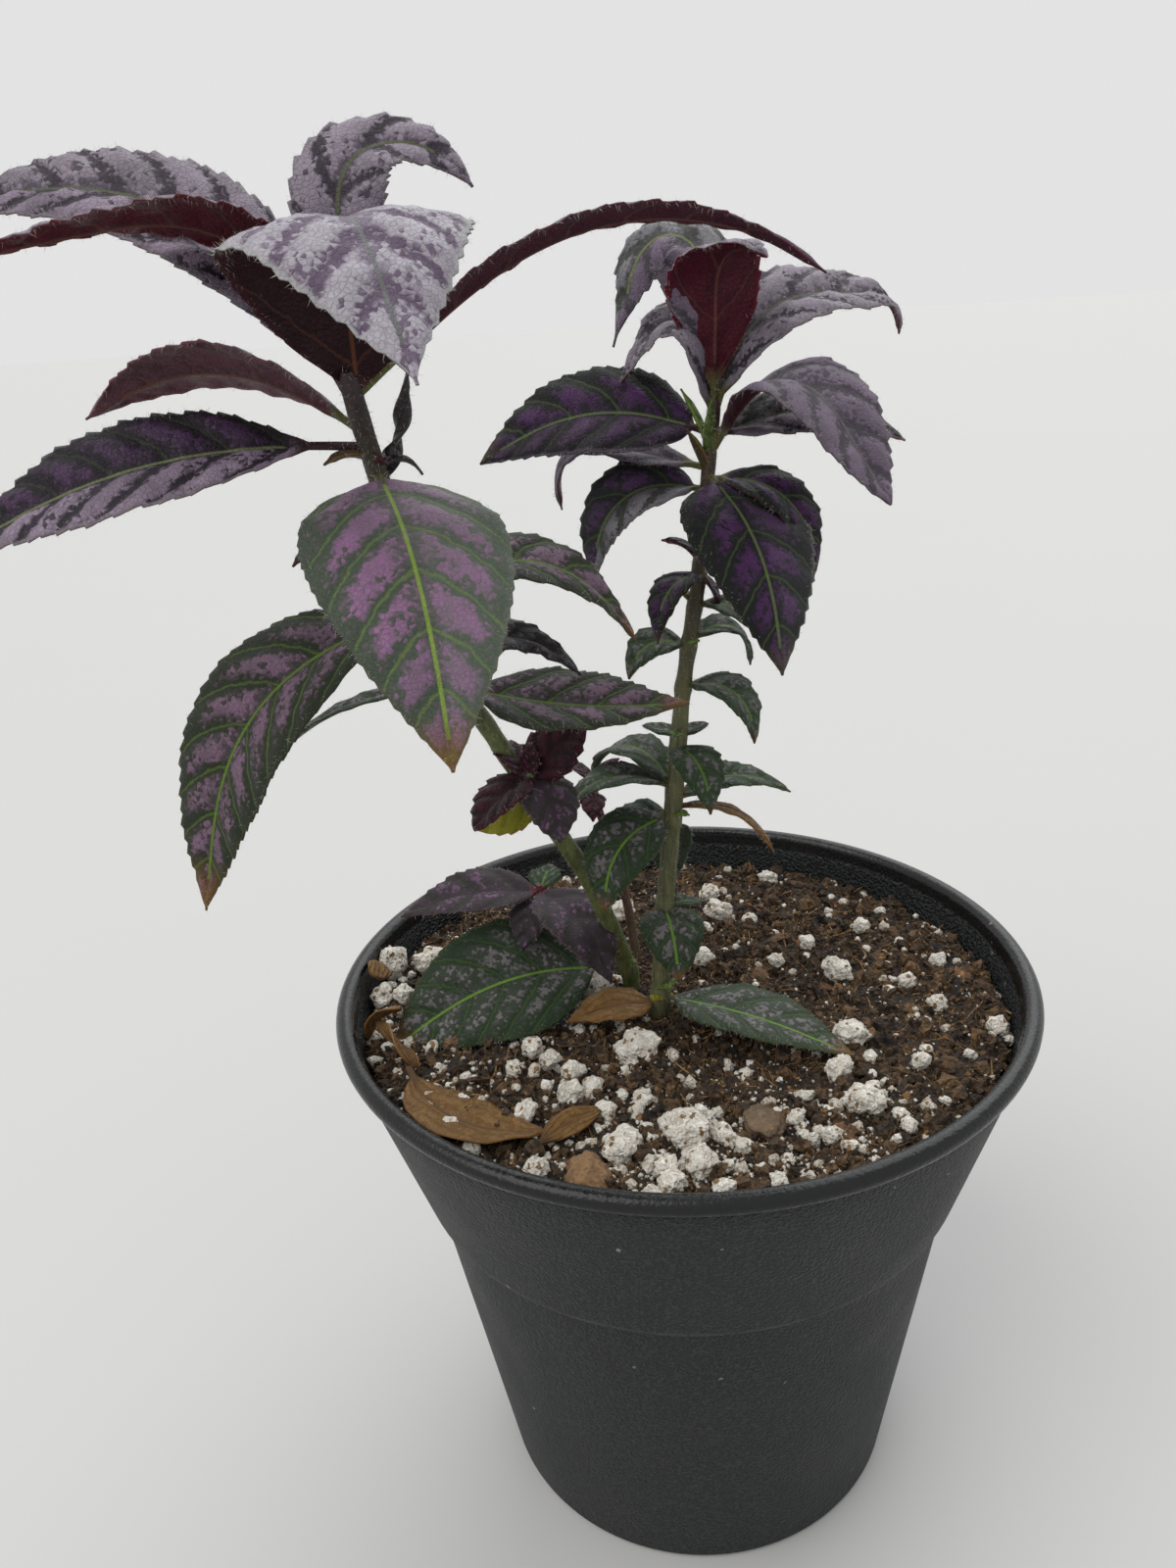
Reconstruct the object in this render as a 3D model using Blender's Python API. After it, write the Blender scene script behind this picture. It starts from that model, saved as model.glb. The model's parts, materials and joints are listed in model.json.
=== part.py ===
"""Potted Persian shield: two leafy stems and two young shoots in a round black nursery pot.

Lengths are in millimetres until a mesh is made; the model itself is in metres, +Z up.
The origin is the centre of the pot's flat bottom, and the plant's open side faces -Y.
"""
import math
import random
from dataclasses import dataclass

import bmesh
import bpy
import numpy as np
from mathutils import Matrix, Vector

# Driving dimensions
METRES = 0.001
CLEARANCE = 0.3
SEED = 11

POT_RIM_RADIUS = 75.0
POT_HEIGHT = 124.5
POT_BASE_RADIUS = 46.8
POT_WALL = 1.6
POT_FLOOR = 2.5
POT_SIDES = 36
FOOT_ROUND = 1.6
INNER_STEP = 2.0
BEAD_RADIUS = 2.6
BAND_BOTTOM = 81.5
BAND_BOTTOM_RADIUS = 61.4
BODY_TOP_RADIUS = 59.0
DRAIN_COUNT = 8
DRAIN_RADIUS = 4.0
DRAIN_CIRCLE = 34.0

SOIL_LEVEL = 117.0
SOIL_SLOPE_Y = 0.028
SOIL_RELIEF = 0.9
SOIL_SECTORS = 30
SOIL_RINGS = (10, 20, 31, 42, 53, 63)
SOIL_EDGE = 69.0
WALL_GAP = CLEARANCE + 0.2
HOLE_SLACK = 0.9
HOLE_RISE = 20.0
HOLE_SIDES = 14
LUMP_LIFT = 0.15
LUMP_FLATNESS = 0.8
LUMP_GROWTH = 1.2

STEM_SIDES = 8
STEM_STEP = 8.0
NODE_SWELLING = 0.45
BURIED_DEPTH = 26.0
PETIOLE_HALF = 0.75
BLADE_THICKNESS = 0.7
RIB_THICKNESS = 1.25
TOOTH_DEPTH = 0.06
MARGIN_WAVE = 0.35
TIP_HALF = 0.35
WIDE_COLUMNS = (-1.0, -0.5, 0.0, 0.5, 1.0)
NARROW_COLUMNS = (-1.0, 0.0, 1.0)
WIDE_LEAF = 13.5
WIDE_STEP = 4.3
NARROW_STEP = 5.0
STATION_LIMITS = (5, 13)
SHARP_ANGLE = math.radians(40)

# Stem centre lines, from the soil upwards
RIGHT_STEM = ((-5, -7, 115), (-3, -7, 141), (-0.5, -7, 163), (0.8, -7, 176), (2.4, -7, 190),
              (4, -7, 200), (6, -7, 211), (7.4, -7, 224), (8.3, -7, 232), (9, -7, 238), (9.6, -7, 243))
LEFT_STEM = ((-11, 4, 115), (-11.3, 3.5, 120.5), (-14.5, -2, 135), (-18.5, -7, 150), (-27, -16, 171.5),
             (-34, -25, 191), (-38, -31, 201), (-41, -37, 218), (-42.5, -43, 232), (-43, -47, 240),
             (-43.4, -51, 247), (-43.5, -54, 253))
SIDE_SHOOT = ((-26, -15, 169), (-26, -21, 176), (-26.5, -25, 180.5))
LOW_SHOOT = ((-27, 16, 115), (-27.2, 15.5, 120), (-28.5, 13, 125), (-30.5, 8.5, 136), (-30.8, 7.5, 141))
BACK_SHOOT = ((-10, 16, 115), (-12, 20, 130), (-16, 20, 148), (-18, 18, 158), (-18, 18, 163))

# Stem radii at the foot and at the tip
RIGHT_RADII = (2.5, 1.7)
LEFT_RADII = (2.5, 1.9)
SHOOT_RADII = (1.2, 0.9)
TWIG_RADII = (1.3, 1.0)
STEM_HOLES = ((RIGHT_STEM, RIGHT_RADII[0]), (LEFT_STEM, LEFT_RADII[0]), (LOW_SHOOT, SHOOT_RADII[0]),
              (BACK_SHOOT, SHOOT_RADII[0]))

# Perlite lumps on the soil: x, y and size
PERLITE = ((-9.5, -24.5, 10), (-11.5, -55, 7.5), (0, -51, 9), (2.5, -60, 7.5), (34, -19.5, 8),
           (33.5, -42, 8.5), (35, 6.5, 6.5), (43.5, 26.5, 5), (-18.5, 0.5, 8), (-22, -38, 6),
           (-26.5, -60, 5), (-33, -11, 6), (-59, 16, 8), (-62, -1, 6), (30, -32, 6), (-3, -65, 5.5),
           (54, -8.5, 4.5), (8, 48, 6), (10, 37, 6.5), (-14, 38, 6.5), (24, 56, 5), (-42, 30, 6))


@dataclass(frozen=True)
class Leaf:
    """A leaf: its height on the stem, the run of its midrib in degrees, and its blade."""

    height: float
    heading: float
    rise: float
    droop: float
    length: float
    width: float
    roll: float = 0.0
    tip_roll: float = 0.0
    turn: float = 0.0
    fold: float = 18.0
    petiole: float = 0.08
    swell: float = 0.75
    taper: float = 1.15
    bend_at: float = 0.5
    bend_half: float = 0.5
    tip_drop: float = 0.0


RIGHT_CROWN = (
    Leaf(230, -63, -22, -82, 43, 24, fold=10, swell=0.5, taper=1.1),
    Leaf(229, -22, 5, -88, 31, 12, roll=20),
    Leaf(227, 188, 18, -88, 32, 19, roll=-25, tip_roll=-30, fold=25, swell=0.6),
    Leaf(231, 172, 15, -100, 37, 12, roll=-18, bend_at=0.72, bend_half=0.28),
    Leaf(237, 182, 22, -30, 44, 21, roll=-42, swell=0.6, taper=1.0),
    Leaf(238, 170, 86, -55, 36, 15, roll=-25, swell=1.0, bend_at=0.55, bend_half=0.25),
    Leaf(240, -75, 84, -50, 36, 18, turn=60, swell=1.5, taper=1.0, bend_at=0.8, bend_half=0.3),
    Leaf(241, 185, 86, -75, 60, 20, roll=-8, tip_roll=-45, swell=1.5, taper=1.2, bend_at=0.57,
         bend_half=0.27),
    Leaf(239, 20, 70, -5, 54, 20, roll=25, swell=1.0, bend_at=0.4, bend_half=0.3, tip_drop=90),
    Leaf(233, -36, 60, -55, 50, 22, roll=12, swell=1.0, taper=1.0, bend_at=0.42, bend_half=0.3),
    Leaf(236, 6, 20, -28, 34, 15, roll=28),
)
RIGHT_BELOW = (
    Leaf(206, -20, 10, -80, 23, 11, roll=10),
    Leaf(199, 20, 35, -88, 19, 8, roll=15),
    Leaf(212, -132, 5, -88, 19, 9, swell=0.5),
    Leaf(212, -10, -40, -88, 8, 5),
    Leaf(214, 165, 60, 0, 9, 4),
    Leaf(198, 195, 30, -75, 16, 10, roll=-20),
    Leaf(190, -25, 20, -88, 22, 12, roll=5),
    Leaf(190, 20, 5, -75, 20, 7),
    Leaf(180, 155, 20, 0, 8, 6),
    Leaf(180, 30, 20, 0, 7, 6),
    Leaf(178, -60, 0, -85, 18, 11, swell=0.5),
    Leaf(169, 188, 50, -45, 27, 13),
    Leaf(166, 8, 25, -40, 17, 10, roll=10),
    Leaf(165, 0, 5, -62, 25, 5),
    Leaf(163, 218, 5, -88, 25, 12, roll=-20),
    Leaf(162, 95, -40, -88, 24, 10),
    Leaf(142, -80, 5, -70, 19, 14, swell=0.45, taper=1.0),
    Leaf(142, 35, 10, -30, 10, 7),
    Leaf(121.5, -28, 8, -12, 38, 21, roll=-4),
    Leaf(119, 205, 18, -10, 22, 11, roll=-10),
    Leaf(168, 150, 65, -60, 27, 13),
    Leaf(163, 170, 10, -80, 20, 11, roll=-10),
)
LEFT_CROWN = (
    Leaf(242, 190, 5, -26, 66, 21, roll=-35, petiole=0.22),
    Leaf(244, 172, 42, -30, 42, 15, roll=30),
    Leaf(250, 172, 60, -5, 74, 20, roll=-35, swell=0.8, taper=1.0, bend_at=0.45, bend_half=0.45,
         tip_drop=85),
    Leaf(250, 215, 72, -10, 62, 16, roll=10, bend_at=0.4, bend_half=0.32),
    Leaf(251, -76, 66, -60, 65, 30, roll=10, turn=24, swell=0.8, taper=1.1, bend_at=0.47,
         bend_half=0.35),
    Leaf(252, 90, 86, -60, 54, 17, roll=10, turn=-85, swell=0.9, bend_at=0.62, bend_half=0.3),
    Leaf(249, 8, 38, -50, 76, 14, bend_at=0.7, bend_half=0.6),
    Leaf(243, -10, 40, 118, 18, 5),
    Leaf(236, 0, 80, -60, 10, 1.6, petiole=0.0),
)
LEFT_BELOW = (
    Leaf(235, -69, -14, -80, 49, 30, fold=6, swell=0.5, taper=1.05),
    Leaf(231, 190, 0, -45, 18, 8),
    Leaf(199, -8, -12, 4, 41, 22, roll=12),
    Leaf(198, 180, -6, -30, 28, 8),
    Leaf(206, 12, 20, -45, 29, 8, roll=40),
    Leaf(217, 10, 26, -60, 43, 17, roll=18),
    Leaf(214, 190, -8, -74, 66, 20, roll=-25, tip_roll=-40, swell=0.7, bend_at=0.45, bend_half=0.45),
    Leaf(122, 198, 24, -24, 58, 28, roll=-25, petiole=0.15),
)
SIDE_SHOOT_LEAVES = (
    Leaf(179, 15, 55, 30, 12, 10, petiole=0.0, swell=0.6),
    Leaf(179, 215, -10, -50, 13, 12, petiole=0.0, swell=0.6),
    Leaf(179, 150, 55, 20, 10, 7, petiole=0.0),
    Leaf(179, -55, -10, -85, 14, 11, petiole=0.0, swell=0.6),
    Leaf(174, 198, -20, -55, 12, 10, petiole=0.0, swell=0.6),
)
LOW_SHOOT_LEAVES = (
    Leaf(139, 189, 12, -22, 32, 15, roll=-15, petiole=0.02),
    Leaf(139, -67, 5, -60, 28, 14, petiole=0.02),
    Leaf(138, -105, -5, -55, 15, 10),
    Leaf(139, 75, 35, 0, 9, 8),
)
BACK_SHOOT_LEAVES = (
    Leaf(161, 160, 50, 10, 8, 5),
    Leaf(161, 20, 50, 20, 8, 5),
    Leaf(158, -90, 10, -60, 9, 6),
)
DRY_LEAF = Leaf(120.3, -62, -4, 4, 38, 13, roll=-6, turn=55, swell=0.9, taper=0.9)
DRY_LEAF_ROOT = (-54.5, -27.0)
DRY_TIP = Leaf(119.5, 40, 14, -12, 16, 6, roll=15)
DRY_TIP_ROOT = (-24.5, -52.0)

# Bark chips half sunk in the soil: name, x, y, size and thickness over size
BARK = (("bark_front", -17.5, -61.5, 9.0, 0.3), ("bark_chip", 14.5, -47.0, 7.5, 0.45))


def clear_scene() -> None:
    """Remove every object that the scene starts with."""
    for item in list(bpy.data.objects):
        bpy.data.objects.remove(item, do_unlink=True)


def make_material(name: str, colour: tuple, roughness: float) -> bpy.types.Material:
    """Return a plain non-metal surface of one colour."""
    material = bpy.data.materials.new(name)
    material.use_nodes = True
    shader = material.node_tree.nodes["Principled BSDF"]
    shader.inputs["Base Color"].default_value = (*colour, 1.0)
    shader.inputs["Roughness"].default_value = roughness
    shader.inputs["Metallic"].default_value = 0.0
    return material


def add_object(name: str, mesh: bpy.types.Mesh, material: bpy.types.Material) -> bpy.types.Object:
    """Link a mesh into the scene under a name, with its surface."""
    mesh.materials.clear()
    mesh.materials.append(material)
    item = bpy.data.objects.new(name, mesh)
    bpy.context.scene.collection.objects.link(item)
    return item


def mesh_from(name: str, points: np.ndarray, faces: list) -> bpy.types.Mesh:
    """Make a mesh from points in millimetres."""
    mesh = bpy.data.meshes.new(name)
    mesh.from_pydata((np.asarray(points) * METRES).tolist(), [], faces)
    mesh.validate()
    return mesh


def smooth_step(value: np.ndarray) -> np.ndarray:
    """Ease from 0 to 1."""
    value = np.clip(value, 0.0, 1.0)
    return value * value * (3.0 - 2.0 * value)


# Stems and leaves
def point_on(route: tuple, height: float) -> np.ndarray:
    """Return the point of a stem's centre line at a height."""
    line = np.array(route, float)
    return np.array([np.interp(height, line[:, 2], line[:, axis]) for axis in (0, 1)] + [height])


def leaf_frames(leaf: Leaf, root: np.ndarray, stations: int) -> tuple:
    """Return the midrib's places along it, its points, and the blade's side and up directions."""
    place = np.linspace(0.0, 1.0, stations + 1)

    def angles(where: np.ndarray) -> tuple:
        bend = smooth_step((where - leaf.bend_at + leaf.bend_half) / (2 * leaf.bend_half))
        tip = np.clip((where - 0.8) / 0.2, 0.0, 1.0)
        pitch = leaf.rise + (leaf.droop - leaf.rise) * bend - leaf.tip_drop * tip
        return np.radians(pitch), np.radians(leaf.heading + leaf.turn * bend)

    def directions(where: np.ndarray) -> tuple:
        pitch, heading = angles(where)
        along = np.stack([np.cos(pitch) * np.cos(heading), np.cos(pitch) * np.sin(heading),
                          np.sin(pitch)], -1)
        side = np.stack([-np.sin(heading), np.cos(heading), 0 * heading], -1)
        return along, side

    middle = (place[1:] + place[:-1]) / 2
    steps = directions(middle)[0] * leaf.length / stations
    points = np.vstack([root, root + np.cumsum(steps, 0)])
    along, side = directions(place)
    up = np.cross(along, side)
    roll = np.radians(leaf.roll + leaf.tip_roll * place)[:, None]
    return place, points, side * np.cos(roll) + up * np.sin(roll), up * np.cos(roll) - side * np.sin(roll)


def blade_half_width(leaf: Leaf, place: np.ndarray) -> np.ndarray:
    """Return the blade's half width along the midrib, narrow along the petiole and at the tip."""
    inner = np.clip((place - leaf.petiole) / (1.0 - leaf.petiole), 0.0, 1.0)
    widest = leaf.swell / (leaf.swell + leaf.taper)
    rising = (inner / widest) ** leaf.swell
    falling = ((1.0 - inner) / (1.0 - widest)) ** leaf.taper
    half = leaf.width / 2 * rising * falling
    floor = TIP_HALF + (PETIOLE_HALF - TIP_HALF) * (1.0 - place)
    return np.maximum(half, np.minimum(floor, leaf.width / 2))


def leaf_mesh(name: str, leaf: Leaf, root: np.ndarray) -> bpy.types.Mesh:
    """Make a leaf as a thin closed blade with a toothed, waved margin and a thicker midrib."""
    wide_leaf = leaf.width > WIDE_LEAF
    columns = WIDE_COLUMNS if wide_leaf else NARROW_COLUMNS
    steps = round(leaf.length / (WIDE_STEP if wide_leaf else NARROW_STEP))
    stations = int(np.clip(steps, *STATION_LIMITS))
    place, points, side, up = leaf_frames(leaf, root, stations)
    half = blade_half_width(leaf, place)
    in_blade = half > 2.0
    tooth = np.where(np.arange(stations + 1) % 2 == 0, 1.0, -1.0) * in_blade
    fold = math.radians(leaf.fold)
    top, bottom = [], []
    thin = BLADE_THICKNESS + (RIB_THICKNESS - BLADE_THICKNESS) * (1.0 - smooth_step(half / 2.5))
    for column in columns:
        reach = abs(column)
        width = half * column * (1.0 + (TOOTH_DEPTH * tooth if reach == 1.0 else 0.0))
        across = width * math.cos(fold)
        lift = np.abs(width) * math.sin(fold) - 0.2 * half * reach ** 2
        lift = lift + (MARGIN_WAVE * tooth if reach == 1.0 else 0.0)
        thick = np.maximum(thin, RIB_THICKNESS * (1.0 - 0.4 * place)) if reach == 0.0 else thin
        centre = points + side * across[:, None] + up * lift[:, None]
        top.append(centre + up * (thin / 2)[:, None])
        bottom.append(centre + up * (thin / 2 - thick)[:, None])
    rows = stations + 1
    wide = len(columns)
    grid = np.concatenate([np.stack(top, 1).reshape(-1, 3), np.stack(bottom, 1).reshape(-1, 3)])
    under = rows * wide
    faces = []
    for row in range(stations):
        for col in range(wide - 1):
            a, b = row * wide + col, (row + 1) * wide + col
            c, d = b + 1, a + 1
            if (col < wide // 2) == (row % 2 == 0):
                faces += [(a, b, c), (a, c, d), (a + under, c + under, b + under),
                          (a + under, d + under, c + under)]
            else:
                faces += [(a, b, d), (b, c, d), (a + under, d + under, b + under),
                          (b + under, d + under, c + under)]
        low, high = row * wide, row * wide + wide - 1
        faces += [(high, high + wide, high + wide + under, high + under),
                  (low, low + under, low + wide + under, low + wide)]
    last = stations * wide
    for col in range(wide - 1):
        faces.append((col, col + 1, col + 1 + under, col + under))
        faces.append((last + col, last + col + under, last + col + 1 + under, last + col + 1))
    return mesh_from(name, grid, faces)


def stem_mesh(name: str, route: tuple, radii_at_ends: tuple, nodes: list, buried: float) -> bpy.types.Mesh:
    """Make a round tapering stem along its route, swollen where leaves leave it."""
    line = np.array(route, float)
    if buried:
        line = np.vstack([line[0] - (0, 0, buried), line])
    low, high = line[0, 2], line[-1, 2]
    levels = np.linspace(low, high, max(3, int(round((high - low) / STEM_STEP))) + 1)
    levels = np.unique(np.round(np.concatenate([levels, [n for n in nodes if low < n < high]]), 1))
    keep = [levels[0]]
    for level in levels[1:-1]:
        if level - keep[-1] > 1.5 and high - level > 1.0:
            keep.append(level)
    levels = np.array(keep + [high])
    centres = np.array([[np.interp(z, line[:, 2], line[:, axis]) for axis in (0, 1)] + [z]
                        for z in levels])
    share = (levels - low) / (high - low)
    radii = radii_at_ends[0] + (radii_at_ends[1] - radii_at_ends[0]) * share
    for node in nodes:
        radii = radii + NODE_SWELLING * np.exp(-((levels - node) / 1.4) ** 2) / (1 + 0.3 * len(nodes))
    tangents = np.gradient(centres, axis=0)
    points = []
    for centre, tangent, radius in zip(centres, tangents, radii):
        forward = Vector(tangent).normalized()
        right = forward.cross(Vector((0, 1, 0))).normalized()
        back = right.cross(forward)
        for turn in range(STEM_SIDES):
            angle = 2 * math.pi * turn / STEM_SIDES
            spoke = math.cos(angle) * right + math.sin(angle) * back
            points.append(Vector(centre) + spoke * float(radius))
    faces = []
    for ring in range(len(levels) - 1):
        for turn in range(STEM_SIDES):
            a = ring * STEM_SIDES + turn
            b = ring * STEM_SIDES + (turn + 1) % STEM_SIDES
            faces.append((a, a + STEM_SIDES, b + STEM_SIDES, b))
    top = (len(levels) - 1) * STEM_SIDES
    faces.append(tuple(range(STEM_SIDES)))
    faces.append(tuple(top + turn for turn in reversed(range(STEM_SIDES))))
    mesh = mesh_from(name, [tuple(p) for p in points], faces)
    return face_outward(mesh)


def face_outward(mesh: bpy.types.Mesh) -> bpy.types.Mesh:
    """Turn a closed mesh's faces to point out."""
    work = bmesh.new()
    work.from_mesh(mesh)
    bmesh.ops.recalc_face_normals(work, faces=work.faces)
    work.to_mesh(mesh)
    work.free()
    return mesh


def keep_main_shell(mesh: bpy.types.Mesh) -> None:
    """Keep a fused mesh's one large shell and drop loose scraps and sealed hollows."""
    work = bmesh.new()
    work.from_mesh(mesh)
    bmesh.ops.remove_doubles(work, verts=work.verts, dist=1e-7)
    seen, shells = set(), []
    for start in work.verts:
        if start in seen:
            continue
        shell, waiting = [], [start]
        seen.add(start)
        while waiting:
            vert = waiting.pop()
            shell.append(vert)
            for edge in vert.link_edges:
                other = edge.other_vert(vert)
                if other not in seen:
                    seen.add(other)
                    waiting.append(other)
        shells.append(shell)
    shells.sort(key=len)
    for shell in shells[:-1]:
        bmesh.ops.delete(work, geom=shell, context='VERTS')
    bmesh.ops.triangulate(work, faces=work.faces)
    work.to_mesh(mesh)
    work.free()


def boolean_with(body: bpy.types.Object, meshes: list, operation: str, solver: str) -> None:
    """Join meshes to a body, or cut them from it, in one Boolean that is then applied."""
    group = bpy.data.collections.new(body.name + "_tools")
    bpy.context.scene.collection.children.link(group)
    for mesh in meshes:
        group.objects.link(bpy.data.objects.new(mesh.name, mesh))
    step = body.modifiers.new("join", 'BOOLEAN')
    step.operation = operation
    step.solver = solver
    step.operand_type = 'COLLECTION'
    step.collection = group
    graph = bpy.context.evaluated_depsgraph_get()
    graph.update()
    result = bpy.data.meshes.new_from_object(body.evaluated_get(graph))
    body.modifiers.remove(step)
    body.data = result
    for item in list(group.objects):
        bpy.data.objects.remove(item, do_unlink=True)
    bpy.data.collections.remove(group)


def build_plant(name: str, route: tuple, radii: tuple, leaves: tuple, material: bpy.types.Material,
                side_shoots: tuple = ()) -> bpy.types.Object:
    """Make one leafy stem: the stem, its side shoots and all its leaves as one solid."""
    heights = sorted({leaf.height for leaf in leaves})
    body = add_object(name, stem_mesh(name, route, radii, heights, BURIED_DEPTH), material)
    parts = [leaf_mesh(f"{name}_leaf_{index:02d}", leaf, point_on(route, leaf.height))
             for index, leaf in enumerate(leaves)]
    for shoot_route, shoot_leaves in side_shoots:
        parts.append(stem_mesh(name + "_shoot", shoot_route, TWIG_RADII, [], 0.0))
        parts += [leaf_mesh(f"{name}_shoot_leaf_{index:02d}", leaf, point_on(shoot_route, leaf.height))
                  for index, leaf in enumerate(shoot_leaves)]
    boolean_with(body, parts, 'UNION', 'EXACT')
    keep_main_shell(body.data)
    body.data.shade_smooth()
    body.data.set_sharp_from_angle(angle=SHARP_ANGLE)
    return body


# Pot
def inner_wall() -> list:
    """Return the pot's inner wall as radius and height, from the floor up to the rim."""
    return [(POT_BASE_RADIUS - POT_WALL, POT_FLOOR), (BODY_TOP_RADIUS - POT_WALL, BAND_BOTTOM - INNER_STEP),
            (BAND_BOTTOM_RADIUS - POT_WALL, BAND_BOTTOM + 1.5),
            (POT_RIM_RADIUS - BEAD_RADIUS * 2 + 0.3, POT_HEIGHT - BEAD_RADIUS)]


def inner_radius(height: float) -> float:
    """Return the radius of the pot's inner wall at a height."""
    radii, heights = zip(*inner_wall())
    return float(np.interp(height, heights, radii))


def pot_profile() -> list:
    """Return the pot's closed section, as radius and height, from the axis at the bottom round."""
    bead_centre = (POT_RIM_RADIUS - BEAD_RADIUS, POT_HEIGHT - BEAD_RADIUS)
    outer = [(0.0, 0.0), (POT_BASE_RADIUS - FOOT_ROUND, 0.0),
             (POT_BASE_RADIUS - 0.3 * FOOT_ROUND, 0.3 * FOOT_ROUND), (POT_BASE_RADIUS, FOOT_ROUND),
             (BODY_TOP_RADIUS, BAND_BOTTOM - 2.5),
             (BODY_TOP_RADIUS + 0.7, BAND_BOTTOM - 1.1), (BAND_BOTTOM_RADIUS - 0.4, BAND_BOTTOM),
             (BAND_BOTTOM_RADIUS + 0.3, BAND_BOTTOM + 1.4),
             (POT_RIM_RADIUS - 3.1, POT_HEIGHT - 2 * BEAD_RADIUS - 1.2)]
    bead = [(bead_centre[0] + BEAD_RADIUS * math.cos(angle), bead_centre[1] + BEAD_RADIUS * math.sin(angle))
            for angle in np.radians((-65, -15, 35, 85, 145))]
    inner = [(radius, height) for radius, height in reversed(inner_wall())]
    return outer + bead + inner + [(0.0, POT_FLOOR)]


def build_pot(material: bpy.types.Material) -> bpy.types.Object:
    """Turn the pot's section round its axis and drill the drain holes in its floor."""
    work = bmesh.new()
    section = [work.verts.new((radius * METRES, 0.0, height * METRES)) for radius, height in pot_profile()]
    edges = [work.edges.new(pair) for pair in zip(section, section[1:])]
    bmesh.ops.spin(work, geom=section + edges, axis=(0, 0, 1), cent=(0, 0, 0), steps=POT_SIDES,
                   angle=2 * math.pi, use_merge=True)
    bmesh.ops.remove_doubles(work, verts=work.verts, dist=1e-6)
    bmesh.ops.recalc_face_normals(work, faces=work.faces)
    mesh = bpy.data.meshes.new("pot")
    work.to_mesh(mesh)
    work.free()
    pot = add_object("pot", mesh, material)
    drills = []
    for index in range(DRAIN_COUNT):
        angle = 2 * math.pi * (index + 0.5) / DRAIN_COUNT
        place = (DRAIN_CIRCLE * math.cos(angle), DRAIN_CIRCLE * math.sin(angle), POT_FLOOR / 2)
        drills.append(rod_mesh(f"drill_{index}", place, DRAIN_RADIUS, 3 * POT_FLOOR))
    boolean_with(pot, drills, 'DIFFERENCE', 'EXACT')
    pot.data.shade_smooth()
    pot.data.set_sharp_from_angle(angle=SHARP_ANGLE)
    return pot


def rod_mesh(name: str, centre: tuple, radius: float, length: float) -> bpy.types.Mesh:
    """Make an upright round rod."""
    work = bmesh.new()
    bmesh.ops.create_cone(work, cap_ends=True, segments=HOLE_SIDES, radius1=radius * METRES,
                          radius2=radius * METRES, depth=length * METRES,
                          matrix=Matrix.Translation(Vector(centre) * METRES))
    mesh = bpy.data.meshes.new(name)
    work.to_mesh(mesh)
    work.free()
    return mesh


# Soil
def soil_height(x: float, y: float) -> float:
    """Return the soil's height: a gentle slope up to the front, with crumbs."""
    relief = (math.sin(0.31 * x + 1.3) * math.cos(0.27 * y - 0.4)
              + 0.6 * math.sin(0.57 * x - 0.43 * y) + 0.4 * math.cos(0.83 * y + 0.39 * x))
    dip = 1.2 * math.exp(-((x + 8) ** 2 + (y + 2) ** 2) / 260.0)
    return SOIL_LEVEL - SOIL_SLOPE_Y * y + 0.5 * SOIL_RELIEF * relief - dip


def soil_mesh() -> bpy.types.Mesh:
    """Make the potting mix: a plug that fills the pot below a crumbly top."""
    points = [(0.0, 0.0, soil_height(0.0, 0.0))]
    faces = []
    angles = [2 * math.pi * turn / SOIL_SECTORS for turn in range(SOIL_SECTORS)]
    for radius in SOIL_RINGS:
        points += [(radius * math.cos(a), radius * math.sin(a),
                    soil_height(radius * math.cos(a), radius * math.sin(a))) for a in angles]
    for a in angles:
        height = soil_height(SOIL_EDGE * math.cos(a), SOIL_EDGE * math.sin(a)) - 0.4
        radius = inner_radius(height) - WALL_GAP
        points.append((radius * math.cos(a), radius * math.sin(a), height))
    for radius, height in reversed(inner_wall()[:-1]):
        level = height + (CLEARANCE if height == POT_FLOOR else 0.0)
        points += [((radius - WALL_GAP) * math.cos(a), (radius - WALL_GAP) * math.sin(a), level)
                   for a in angles]
    count = SOIL_SECTORS
    for turn in range(count):
        faces.append((0, 1 + turn, 1 + (turn + 1) % count))
    rings = (len(points) - 1) // count
    for ring in range(rings - 1):
        for turn in range(count):
            a = 1 + ring * count + turn
            b = 1 + ring * count + (turn + 1) % count
            faces += [(a, a + count, b), (b, a + count, b + count)]
    faces.append(tuple(1 + (rings - 1) * count + turn for turn in range(count)))
    return face_outward(mesh_from("soil", points, faces))


def lump_mesh(name: str, centre: tuple, size: float, dice: random.Random, flat: float) -> bpy.types.Mesh:
    """Make an angular lump of a given size, flattened and dented at random."""
    work = bmesh.new()
    bmesh.ops.create_icosphere(work, subdivisions=1, radius=size / 2 * METRES)
    turn = Matrix.Rotation(dice.uniform(0, math.pi), 3, 'Z')
    squash = Vector((dice.uniform(0.9, 1.15), dice.uniform(0.75, 0.95), flat))
    for vert in work.verts:
        vert.co = turn @ (vert.co * dice.uniform(0.88, 1.08) * squash)
        vert.co += Vector(centre) * METRES
    mesh = bpy.data.meshes.new(name)
    work.to_mesh(mesh)
    work.free()
    return mesh


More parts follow.
